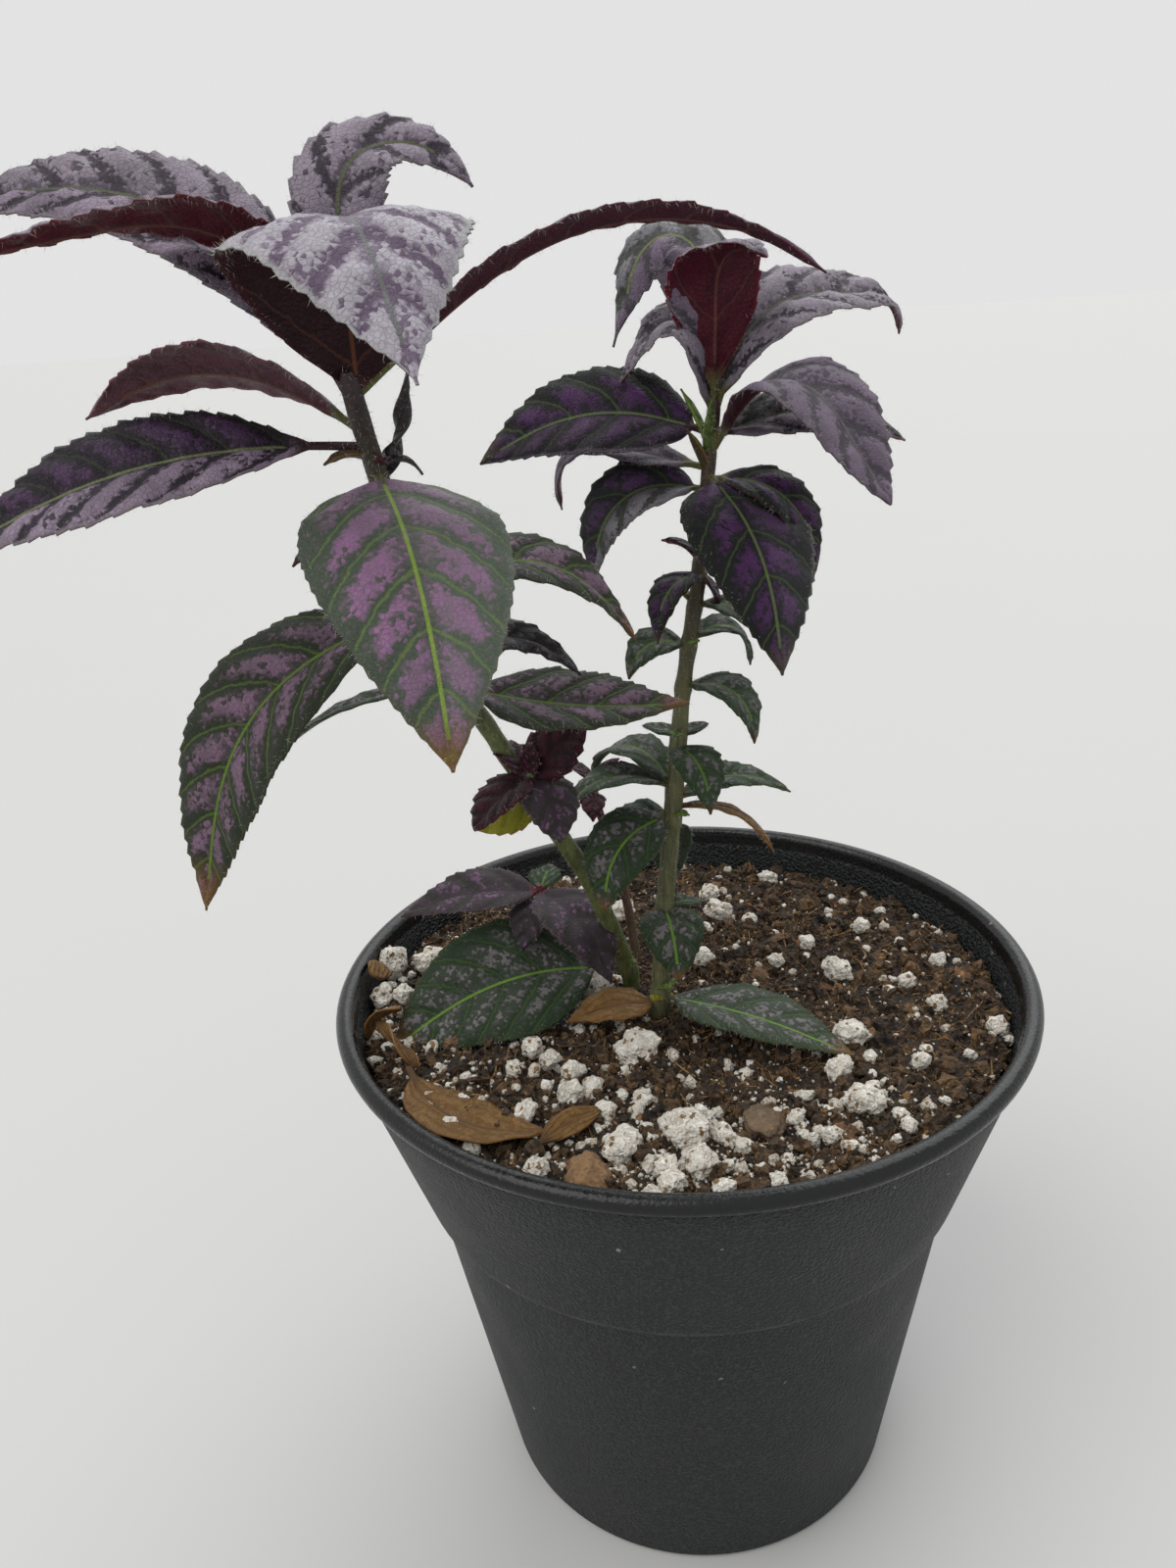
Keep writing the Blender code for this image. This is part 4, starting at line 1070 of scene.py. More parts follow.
class FuzzTree(GeometryTree):
    """Covers a surface with short fine hairs that stand up from it."""

    name = "fine_hairs"
    inputs = {"Density": 100000.0, "Length": 0.0008, "Thickness": 0.00003, "Lean": 0.5, "Seed": 5}

    def build(self) -> bpy.types.NodeSocket:
        """Strew points where the surface is marked hairy, with a thin cone on each.

        Returns:
            The hairs.
        """
        graph, given = self.graph, self.given
        points = self.sown(graph.times(given["Density"], self.stored("hairy")))
        cone = graph.node("GeometryNodeMeshCone", {
            "Vertices": 3, "Side Segments": 1, "Fill Segments": 1, "Radius Top": 0.0,
            "Radius Bottom": given["Thickness"], "Depth": given["Length"]})
        way = graph.node("ShaderNodeVectorMath", {0: points["Normal"], 1: self.spread(*[given["Lean"]] * 3)},
                         operation='ADD').outputs[0]
        turn = graph.node("FunctionNodeAlignRotationToVector", {"Vector": way}, axis='Z').outputs[0]
        return graph.node("GeometryNodeInstanceOnPoints", {
            "Points": points[0], "Instance": cone.outputs[0], "Rotation": turn,
            "Scale": self.chance(0.5, 1.2)}).outputs[0]


# Leaves and stems
@dataclass
class BladeStack:
    """Collects blades into one mesh with their colours and vein pattern."""

    tooth_step: float = 2.3
    tooth_length: float = 0.42
    tooth_share: float = 0.09
    tooth_middle: float = 0.45
    tooth_rows: int = 3
    vein_step: float = 9.5
    blade_thickness: float = 0.36
    rib_depth: float = 0.55
    rib_half: float = 0.55
    groove_depth: float = 0.16
    groove_half: float = 0.5
    petiole_half: float = 0.75
    petiole_rows: int = 5
    stalk_thickness: float = 1.2
    stalk_limit: float = 1.4
    stalk_blend: float = 1.5
    tip_half: float = 0.22
    tip_start: float = 0.8
    edge_start: float = 0.8
    edge_thinning: float = 0.45
    crowding: float = 0.94
    slant: tuple = (0.60, 0.45)
    dimple: float = 0.3
    vein_dip: float = 0.35
    cup: float = 0.2
    ripple: float = 0.02
    frill_share: float = 0.05
    pair_range: tuple = (3.5, 8.0)
    shade_range: tuple = (0.88, 1.1)
    under_state: tuple = (0.12, 1.0, 0.2)
    under_line: float = 0.4
    narrow: float = 8.0
    middling: float = 16.0
    points: list = field(default_factory=list)
    faces: list = field(default_factory=list)
    layers: dict = field(default_factory=dict)
    total: int = 0

    def directions(self, leaf: Leaf, place: np.ndarray) -> tuple:
        """Return which way a midrib points.

        Args:
            leaf: The leaf.
            place: Places along it, from 0 to 1.

        Returns:
            The forward and the side directions.
        """
        bend = smooth_step((place - leaf.bend_at + leaf.bend_half) / (2 * leaf.bend_half))
        tip = np.clip((place - self.tip_start) / (1.0 - self.tip_start), 0.0, 1.0)
        pitch = np.radians(leaf.rise + (leaf.droop - leaf.rise) * bend - leaf.tip_drop * tip)
        heading = np.radians(leaf.heading + leaf.turn * bend)
        along = np.stack([np.cos(pitch) * np.cos(heading), np.cos(pitch) * np.sin(heading),
                          np.sin(pitch)], -1)
        return along, np.stack([-np.sin(heading), np.cos(heading), 0 * heading], -1)

    def route(self, leaf: Leaf, root: np.ndarray, place: np.ndarray) -> tuple:
        """Return where a midrib runs.

        Args:
            leaf: The leaf.
            root: Where it leaves its stem.
            place: Places along it, from 0 to 1.

        Returns:
            Its points, side directions, up directions and forward directions.
        """
        middle = (place[1:] + place[:-1]) / 2
        steps = self.directions(leaf, middle)[0] * (leaf.length * np.diff(place))[:, None]
        points = np.vstack([root, root + np.cumsum(steps, 0)])
        along, side = self.directions(leaf, place)
        up = np.cross(along, side)
        roll = np.radians(leaf.roll + leaf.tip_roll * place)[:, None]
        return points, side * np.cos(roll) + up * np.sin(roll), up * np.cos(roll) - side * np.sin(roll), along

    def half_width(self, leaf: Leaf, place: np.ndarray) -> np.ndarray:
        """Return the blade's half width along the midrib.

        Args:
            leaf: The leaf.
            place: Places along the midrib.

        Returns:
            Half widths in millimetres.
        """
        inner = np.clip((place - leaf.petiole) / (1.0 - leaf.petiole), 0.0, 1.0)
        widest = leaf.swell / (leaf.swell + leaf.taper)
        rising = (inner / widest) ** leaf.swell
        falling = ((1.0 - inner) / (1.0 - widest)) ** leaf.taper
        half = leaf.width / 2 * rising * falling
        floor = self.tip_half + (self.petiole_half - self.tip_half) * (1.0 - place)
        return np.maximum(half, np.minimum(floor, leaf.width / 2))

    def add(self, leaf: Leaf, root: np.ndarray, seed: int) -> None:
        """Add one leaf: a toothed and quilted blade with a grooved midrib, and its stalk.

        Args:
            leaf: The leaf.
            root: Where it leaves its stem.
            seed: Its own random seed.
        """
        dice = random.Random(seed)
        finish = leaf.look.value
        teeth = max(3, round(leaf.length * (1 - leaf.petiole) / self.tooth_step))
        stalk_rows = self.petiole_rows if leaf.petiole else 0
        blade_rows = np.linspace(leaf.petiole, 1.0, self.tooth_rows * teeth + 1)
        place = np.concatenate([np.linspace(0.0, leaf.petiole, stalk_rows + 1)[:-1], blade_rows])
        side_columns = 4 if leaf.width < self.narrow else (6 if leaf.width < self.middling else 8)
        reach = np.sin(np.linspace(0.0, 1.0, side_columns + 1) * math.pi / 2 * self.crowding)
        columns = np.concatenate([-reach[::-1], reach[1:]]) / reach[-1]
        spine, side, up, along = self.route(leaf, root, place)
        half = self.half_width(leaf, place)
        blade = np.clip((half - self.stalk_limit) / self.stalk_blend, 0.0, 1.0)[:, None]
        inner = np.clip((place - leaf.petiole) / (1.0 - leaf.petiole), 0.0, 1.0)[:, None]
        across = np.abs(columns)[None, :]
        left = columns[None, :] > 0
        at_edge = np.clip((across - self.edge_start) / (1.0 - self.edge_start), 0.0, 1.0) ** 2
        count = np.arange(len(place))[:, None] - stalk_rows
        saw = np.where(left, (count + 1) % self.tooth_rows, count % self.tooth_rows) / 2.0
        bite = np.minimum(self.tooth_length, self.tooth_share * half)[:, None]
        bite = bite * finish.teeth * blade * at_edge
        width = half[:, None] * across + bite * (saw - self.tooth_middle)
        fold = math.radians(leaf.fold)
        pairs = float(np.clip(leaf.length / self.vein_step, *self.pair_range))
        slant = width / (leaf.length * (1 - leaf.petiole)) * (self.slant[0] + self.slant[1] * across)
        phase = pairs * (inner - slant) + 0.5
        pucker = np.sin(math.pi * phase) ** 2 * 4 * across * (1 - across)
        dimples = self.dimple * np.sin(4 * math.pi * phase) * np.sin(4 * math.pi * across)
        waves = [dice.uniform(0, FULL_TURN) for _ in range(4)]
        ripple = np.where(left, np.sin(inner * 17 + waves[0]) + 0.7 * np.sin(inner * 29 + waves[1]),
                          np.sin(inner * 15 + waves[2]) + 0.7 * np.sin(inner * 31 + waves[3]))
        frill = np.sin(inner * teeth * math.pi * 0.9 + waves[0] + left * 2.0) * across ** 4
        lift = width * math.sin(fold) - self.cup * half[:, None] * across ** 2
        lift = lift + finish.quilt * min(1.0, leaf.width / 20) * (pucker + dimples - self.vein_dip) * blade
        lift = lift + self.ripple * half[:, None] * ripple * across ** 3 * blade
        lift = lift + min(finish.ruffle, self.frill_share * leaf.width) * frill * blade
        groove = self.groove_depth * np.exp(-(width / self.groove_half) ** 2) * blade
        sideways = np.where(left, 1.0, -1.0) * width * math.cos(fold)
        centre = (spine[:, None, :] + side[:, None, :] * sideways[:, :, None]
                  + up[:, None, :] * lift[:, :, None] + along[:, None, :] * (bite * saw * 0.8)[:, :, None])
        round_off = np.sqrt(np.clip(1 - 0.9 * across ** 2, 0.0, 1.0))
        stalk = (1 - blade) * np.minimum(self.stalk_thickness, 1.6 * half)[:, None] * round_off
        thick = stalk + blade * self.blade_thickness * (1 - self.edge_thinning * at_edge)
        rib = self.rib_depth * (1 - 0.75 * place)[:, None] * np.exp(-(width / self.rib_half) ** 2) * blade
        top = centre + up[:, None, :] * (thick / 2 - groove)[:, :, None]
        bottom = centre - up[:, None, :] * (thick / 2 + rib)[:, :, None]
        self.points.append(np.concatenate([top.reshape(-1, 3), bottom.reshape(-1, 3)]))
        self._skin(len(place), len(columns))
        if finish.lengthwise:
            phase = 2.3 * np.where(left, 1.0, -1.0) * across + 0.5 * np.sin(7 * inner + waves[2]) + 0 * phase
        self._paint(leaf, inner, phase, across, width, blade, dice)

    def _skin(self, rows: int, wide: int) -> None:
        """Join one leaf's points into closed faces.

        Args:
            rows: Points along it.
            wide: Points across it.
        """
        under = rows * wide
        row, col = np.meshgrid(np.arange(rows - 1), np.arange(wide - 1), indexing='ij')
        a = (row * wide + col).ravel() + self.total
        upper = np.stack([a, a + wide, a + wide + 1, a + 1], -1)
        lower = np.stack([a + under, a + 1 + under, a + wide + 1 + under, a + wide + under], -1)
        near = np.arange(rows - 1) * wide + self.total
        low = np.stack([near, near + under, near + wide + under, near + wide], -1)
        far = near + wide - 1
        high = np.stack([far, far + wide, far + wide + under, far + under], -1)
        ends = np.arange(wide - 1) + self.total
        last = ends + (rows - 1) * wide
        first_cap = np.stack([ends, ends + 1, ends + 1 + under, ends + under], -1)
        last_cap = np.stack([last, last + under, last + 1 + under, last + 1], -1)
        self.faces += np.concatenate([upper, lower, low, high, first_cap, last_cap]).tolist()
        self.total += 2 * under

    def _paint(self, leaf: Leaf, inner: np.ndarray, phase: np.ndarray, across: np.ndarray,
               width: np.ndarray, blade: np.ndarray, dice: random.Random) -> None:
        """Store one leaf's colours and pattern on its points.

        Args:
            leaf: The leaf.
            inner: Place along the blade.
            phase: Count of side veins at each point.
            across: Distance from the midrib as a share of the half width.
            width: Distance from the midrib in millimetres.
            blade: 0 on the petiole and 1 on the blade.
            dice: The leaf's random source.
        """
        shape = phase.shape
        shade = dice.uniform(*self.shade_range)
        base = np.ones((*shape, 1))
        halves = []
        for finish in (leaf.look.value, (leaf.left_light_and_shade_look or leaf.look).value):
            tip = (smooth_step((inner - 0.82) / 0.16) * finish.tip_share)[:, :, None]
            old_edge = (smooth_step((inner - 0.5) / 0.5) * finish.tip_share * 0.3)[:, :, None]
            brown = np.array(linear(finish.tip)[:3])
            stalk = np.array(linear(finish.stalk)[:3])
            over = {key: base * np.array(linear(colour)[:3]) * shade for key, colour in (
                ("panel", finish.panel), ("vein", finish.vein), ("edge", finish.edge), ("rib", finish.rib))}
            for key, share in (("panel", tip), ("vein", tip), ("edge", np.maximum(tip, old_edge)),
                               ("rib", tip * 0.7)):
                over[key] = over[key] * (1 - share) + brown * share
            flush = tuple(min(1.0, c * 1.35) for c in finish.under)
            under = {"panel": finish.under, "edge": flush, "rib": finish.under_rib,
                     "vein": tuple(c * 0.75 for c in finish.under)}
            below = {key: base * np.array(linear(colour)[:3]) * shade for key, colour in under.items()}
            foot = ((1 - blade) * np.clip(1.2 - 5 * inner, 0.0, 1.0))[:, :, None]
            for layer in (over, below):
                for key in layer:
                    layer[key] = layer[key] * (1 - foot) + stalk * foot
            over["state"] = base * np.array([finish.vein_width, finish.reach, finish.blotch])
            below["state"] = base * np.array(self.under_state)
            over["line"] = base[:, :, 0] * finish.line
            below["line"] = base[:, :, 0] * self.under_line
            halves.append((over, below))
        # The left half takes the second look, which paints the light, shade and sheen that differ between the
        # halves
        left = np.broadcast_to(np.arange(shape[1])[None, :] > shape[1] // 2, shape)
        for key in halves[0][0]:
            sides = []
            for layer in (0, 1):
                pair = halves[0][layer][key], halves[1][layer][key]
                chosen = left if pair[0].ndim == 2 else left[:, :, None]
                picked = np.where(chosen, pair[1], pair[0])
                sides.append(picked.reshape(-1, *picked.shape[2:]))
            self.layers.setdefault(key, []).append(np.concatenate(sides))
        pattern = np.stack([phase, across * np.ones(shape), width * blade + 9.0 * (1 - blade)], -1)
        self.layers.setdefault("shape", []).append(np.concatenate([pattern.reshape(-1, 3)] * 2))
        hairy = np.clip((across - 0.86) * 7, 0, 1) * blade + 0.6 * (1 - blade)
        self.layers.setdefault("hairy", []).append(np.concatenate([hairy.ravel()] * 2))

    def mesh(self, name: str) -> bpy.types.Mesh:
        """Return the blades as one mesh with its attributes.

        Args:
            name: The mesh's name.

        Returns:
            The mesh.
        """
        made = bpy.data.meshes.new(name)
        made.from_pydata((np.concatenate(self.points) * METRES).tolist(), [], self.faces)
        smooth(made)
        for key, parts in self.layers.items():
            values = np.concatenate(parts)
            if key in ("hairy", "line"):
                store(made, key, values)
            elif key in ("shape", "state"):
                store(made, key, values, 'FLOAT_VECTOR')
            else:
                store(made, key, with_alpha(values), 'FLOAT_COLOR')
        return made


@dataclass(frozen=True)
class StemTone:
    """Colours of a stem from its foot to its tip."""

    foot: tuple
    middle: tuple
    tip: tuple


@dataclass
class LeafyStem:
    """A stem with its side shoots and leaves."""

    node: str
    slot: str
    route: tuple
    radii: tuple
    leaves: tuple
    tone: StemTone
    twigs: tuple = ()
    twig_radii: tuple = (1.3, 1.0)
    stem_sides: int = 14
    buried: float = 20.0
    ring_step: float = 1.2
    node_swelling: float = 0.22
    node_length: float = 1.3
    crown: float = 16.0
    crown_swelling: float = 0.05
    wobble: tuple = (0.03, 0.9)
    blunt: float = 0.55
    hairs: tuple = (("leaf", 2400000.0), ("stem", 2200000.0))
    hair_size: tuple = (0.0009, 0.000026)
    hair_lean: float = 0.6
    seed: int = 1

    def swelling(self, node: float) -> float:
        """Return how much the stem swells at a node, less in the crowded crown."""
        return self.node_swelling if node < self.route[-1][2] - self.crown else self.crown_swelling

    @staticmethod
    def point_on(route: tuple, height: float) -> np.ndarray:
        """Return the point of a centre line, given by its points, at a height."""
        line = np.array(route, float)
        return np.array([np.interp(height, line[:, 2], line[:, axis]) for axis in (0, 1)] + [height])

    def path(self, name: str, route: tuple, radii: tuple, nodes: list, buried: float) -> bpy.types.Mesh:
        """Return a stem's path as a chain of edges with a radius at each point.

        Args:
            name: The mesh's name.
            route: The centre line's points.
            radii: Radius at the foot and the tip.
            nodes: Heights where leaves leave.
            buried: How far it goes on below its first point.

        Returns:
            The path mesh.
        """
        line = np.array(route, float)
        if buried:
            line = np.vstack([line[0] - (0, 0, buried), line])
        low, high = line[0, 2], line[-1, 2]
        levels = np.linspace(low, high, max(4, int((high - low) / self.ring_step)))
        points = np.array([self.point_on(line, level) for level in levels])
        for _ in range(4):
            points[1:-1, :2] = (points[:-2, :2] + 2 * points[1:-1, :2] + points[2:, :2]) / 4
        share = (levels - low) / (high - low)
        width = radii[0] + (radii[1] - radii[0]) * share
        bulges = [self.swelling(node) * np.exp(-((levels - node) / self.node_length) ** 2)
                  for node in nodes]
        if bulges:
            width = width + np.max(bulges, axis=0)
        width = width * (1 + self.wobble[0] * np.sin(levels * self.wobble[1]))
        width[-1] *= self.blunt
        mesh = bpy.data.meshes.new(name)
        mesh.from_pydata((points * METRES).tolist(), [(i, i + 1) for i in range(len(points) - 1)], [])
        store(mesh, "radius", width * METRES)
        return mesh

    def dress_stem(self, mesh: bpy.types.Mesh) -> None:
        """Store the stem's tone and hairiness on its points.

        Args:
            mesh: The swept stem.
        """
        level = places_of(mesh)[:, 2] / METRES
        share = np.clip((level - SOIL_LEVEL) / (self.route[-1][2] - SOIL_LEVEL), 0, 1)[:, None]
        tones = (self.tone.foot, self.tone.middle, self.tone.tip)
        foot, middle, tip = (np.array(linear(colour)[:3]) for colour in tones)
        colour = np.where(share < 0.5, foot + (middle - foot) * share * 2,
                          middle + (tip - middle) * (share * 2 - 1))
        store(mesh, "tone", with_alpha(colour), 'FLOAT_COLOR')
        store(mesh, "hairy", (0.25 + 0.5 * share[:, 0]) * (level > SOIL_LEVEL))

    def build(self, skins: dict, trees: dict) -> None:
        """Build the stem, its leaves and its hairs.

        Args:
            skins: The shared materials.
            trees: The shared geometry trees.
        """
        stack = BladeStack()
        for index, leaf in enumerate(self.leaves):
            stack.add(leaf, self.point_on(self.route, leaf.height), self.seed * 100 + index)
        for twig, (route, leaves) in enumerate(self.twigs):
            for index, leaf in enumerate(leaves):
                stack.add(leaf, self.point_on(route, leaf.height), self.seed * 100 + 50 * (twig + 1) + index)
        leaves = stack.mesh(self.node + "_leaves")
        heights = sorted({leaf.height for leaf in self.leaves})
        runs = [(self.route, self.radii, heights, self.buried)]
        runs += [(route, self.twig_radii, [], 0.0) for route, _ in self.twigs]
        swept = bmesh.new()
        for index, (route, radii, nodes, buried) in enumerate(runs):
            path = self.path(f"{self.node}_path_{index}", route, radii, nodes, buried)
            swept.from_mesh(trees["sweep"].run(f"{self.node}_run_{index}", path, {
                "Sides": self.stem_sides, "Finish": skins["stem"]}))
        bmesh.ops.recalc_face_normals(swept, faces=swept.faces)
        stem = mesh_of(swept, self.node + "_stem")
        smooth(stem)
        self.dress_stem(stem)
        blades = add_object(self.node + "_blades", leaves, skins["leaf"])
        carry(blades, self.slot, self.node)
        stalk = add_object(self.node + "_stalk", stem, skins["stem"])
        carry(stalk, self.slot)
        length, thickness = self.hair_size
        for (label, density), source in zip(self.hairs, (leaves, stem)):
            name = f"{self.node}_{label}_hairs"
            fuzz = trees["fuzz"].run(name, source.copy(), {
                "Density": density, "Length": length, "Thickness": thickness, "Lean": self.hair_lean,
                "Seed": self.seed + 7, "Finish": skins["hair"]})
            if len(fuzz.vertices):
                carry(add_object(name, fuzz, None), self.slot)


# Pot
@dataclass
class NurseryPot:
    """Round nursery pot with a rolled bead, a rim band and a tapering body."""

    rim_radius: float = 75.0
    height: float = 124.5
    base_radius: float = 46.8
    wall: float = 1.6
    floor: float = 2.5
    bead_radius: float = 1.95
    band_inset: float = 2.2
    lip: float = 3.5
    foot_radius: float = 1.8
    foot_angles: tuple = (15, 35, 55, 75, 90)
    flat_radius: float = 24.0
    band_bottom: float = 81.5
    band_bottom_radius: float = 61.4
    body_top_radius: float = 59.0
    step_inner: tuple = ((0.25, -2.0), (1.0, -1.2))
    step_outer: tuple = ((-0.7, -0.7), (-0.15, -0.1), (0.15, 0.7))
    crease: tuple = ((-0.15, 0.45), (-0.6, 0.75), (-0.7, 1.0))
    sides: int = 144
    drains: int = 8
    drain_radius: float = 4.0
    drain_circle: float = 34.0
    sharp_angle: float = 75.0

    def section(self) -> list:
        """Draw the closed section, from the axis at the bottom round.

        Returns:
            Its points, each as radius and height.
        """
        bead = (self.rim_radius - self.bead_radius, self.height - self.bead_radius)
        turn = self.foot_radius
        foot = [(0.0, 0.0), (self.flat_radius, 0.0), (self.base_radius - turn, 0.0)]
        foot += [(self.base_radius - turn + turn * math.sin(t), turn - turn * math.cos(t))
                 for t in np.radians(self.foot_angles)]
        body = [(self.base_radius + (self.body_top_radius - self.base_radius) * t,
                 turn + (self.band_bottom - 2.7 - turn) * t) for t in np.linspace(0.08, 1.0, 9)]
        step = [(self.body_top_radius + out, self.band_bottom + rise) for out, rise in self.step_inner]
        step += [(self.band_bottom_radius + out, self.band_bottom + rise) for out, rise in self.step_outer]
        top = (self.rim_radius - self.band_inset, self.height - 2 * self.bead_radius - 1.1)
        band = [(step[-1][0] + (top[0] - step[-1][0]) * t, step[-1][1] + (top[1] - step[-1][1]) * t)
                for t in np.linspace(0.12, 1.0, 7)]
        crease = [(top[0] + out, top[1] + rise) for out, rise in self.crease]
        roll = [(bead[0] + self.bead_radius * math.cos(t), bead[1] + self.bead_radius * math.sin(t))
                for t in np.radians(np.linspace(-62, 172, 15))]
        inner = [(bead[0] - self.bead_radius - 0.2, self.height - self.bead_radius - 2.2),
                 (self.band_bottom_radius - self.wall, self.band_bottom + 1.5),
                 (self.body_top_radius - self.wall, self.band_bottom - 2.0),
                 (self.base_radius - self.wall, self.floor), (self.flat_radius, self.floor),
                 (0.0, self.floor)]
        return foot + body + step + band + crease + roll + inner

    def inside(self, place: Vector) -> float:
        """Tell whether a point is on the inner wall.

        Args:
            place: The point, in metres.

        Returns:
            1 on the inner wall and 0 elsewhere.
        """
        radius, level = math.hypot(place.x, place.y) / METRES, place.z / METRES
        share = (level - self.band_bottom) / (self.height - self.band_bottom)
        spread = self.rim_radius - self.band_inset - self.band_bottom_radius
        outer = self.band_bottom_radius + share * spread
        return float(self.band_bottom < level < self.height - self.lip and radius < outer - self.wall / 2)

    def drill(self, mesh: bpy.types.Mesh) -> bpy.types.Mesh:
        """Cut the drain holes through the floor.

        Args:
            mesh: The turned pot.

        Returns:
            The drilled pot.
        """
        rods = bmesh.new()
        radius = self.drain_radius * METRES
        for index in range(self.drains):
            angle = 2 * math.pi * (index + 0.5) / self.drains
            place = Vector((self.drain_circle * math.cos(angle), self.drain_circle * math.sin(angle),
                            self.floor / 2))
            bmesh.ops.create_cone(rods, cap_ends=True, segments=32, radius1=radius, radius2=radius,
                                  depth=3 * self.floor * METRES, matrix=Matrix.Translation(place * METRES))
        pot = add_object("undrilled_pot", mesh, None)
        rod = add_object("drain_rods", mesh_of(rods, "drain_rods"), None)
        cut = pot.modifiers.new("drains", 'BOOLEAN')
        cut.object, cut.operation, cut.solver = rod, 'DIFFERENCE', 'EXACT'
        drilled = evaluated(pot)
        bpy.data.objects.remove(rod, do_unlink=True)
        drilled.set_sharp_from_angle(angle=math.radians(self.sharp_angle))
        return drilled

    def build(self, skins: dict, trees: dict) -> None:
        """Turn the section, drill it and dress it.

        Args:
            skins: The shared materials.
            trees: The shared geometry trees.
        """
        section = self.section()
        source = bpy.data.meshes.new("pot_section")
        source.from_pydata([(r * METRES, 0.0, z * METRES) for r, z in section], [], [])
        mesh = trees["lathe"].run("nursery_pot", source, {"Sides": self.sides, "Count": len(section),
                                                          "Finish": skins["pot"]})
        work = bmesh.new()
        work.from_mesh(mesh)
        bmesh.ops.remove_doubles(work, verts=work.verts, dist=MERGE_DISTANCE)
        bmesh.ops.recalc_face_normals(work, faces=work.faces)
        mesh = self.drill(mesh_of(work, "turned_pot"))
        mesh.name = "nursery_pot"
        # Marks the inner wall, which the pot finish darkens with painted shade
        store(mesh, "inside", [self.inside(vert.co) for vert in mesh.vertices])
        carry(add_object("nursery_pot", mesh, skins["pot"]), "pot_plastic", "pot")


# Soil
@dataclass(frozen=True)
class Grains:
    """One kind of small thing strewn over the soil: its shapes, its crowd and its sizes."""

    name: str
    skin: str
    kinds: int
    shape: tuple
    density: float
    smallest: float
    largest: float
    favour: float
    tilt: float
    seed: int
    crowding: float = 0.0
    fibre: bool = False

    def values(self) -> dict:
        """Return the inputs of the scatter tree."""
        return {"Density": self.density, "Smallest": self.smallest, "Largest": self.largest,
                "Favour": self.favour, "Tilt": self.tilt, "Seed": self.seed, "Crowding": self.crowding}


GRAINS = (
    Grains("soil_clods", "soil", 5, (2, 0.75, 1.0), 62000.0, 1.6, 4.4, 2.4, 3.0, 3),
    Grains("soil_crumbs", "soil", 5, (1, 0.7, 1.0), 420000.0, 0.5, 1.9, 1.6, 3.0, 4),
    Grains("perlite_grains", "perlite", 5, (2, 0.85, 0.45), 66000.0, 0.9, 3.5, 2.0, 3.0, 8, crowding=1.0),
    Grains("perlite_dust", "perlite", 5, (1, 0.85, 0.45), 190000.0, 0.35, 1.1, 1.5, 3.0, 12, crowding=1.0),
    Grains("soil_fibres", "fibre", 6, (7, 4), 42000.0, 0.3, 1.1, 1.3, 0.5, 5, fibre=True),
    Grains("coir_threads", "fibre", 6, (4, 3), 300000.0, 0.16, 0.5, 1.2, 1.4, 6, fibre=True),
    Grains("bark_bits", "bark", 4, (2, 0.3, 0.7), 16000.0, 1.0, 5.0, 2.2, 0.7, 9),
)


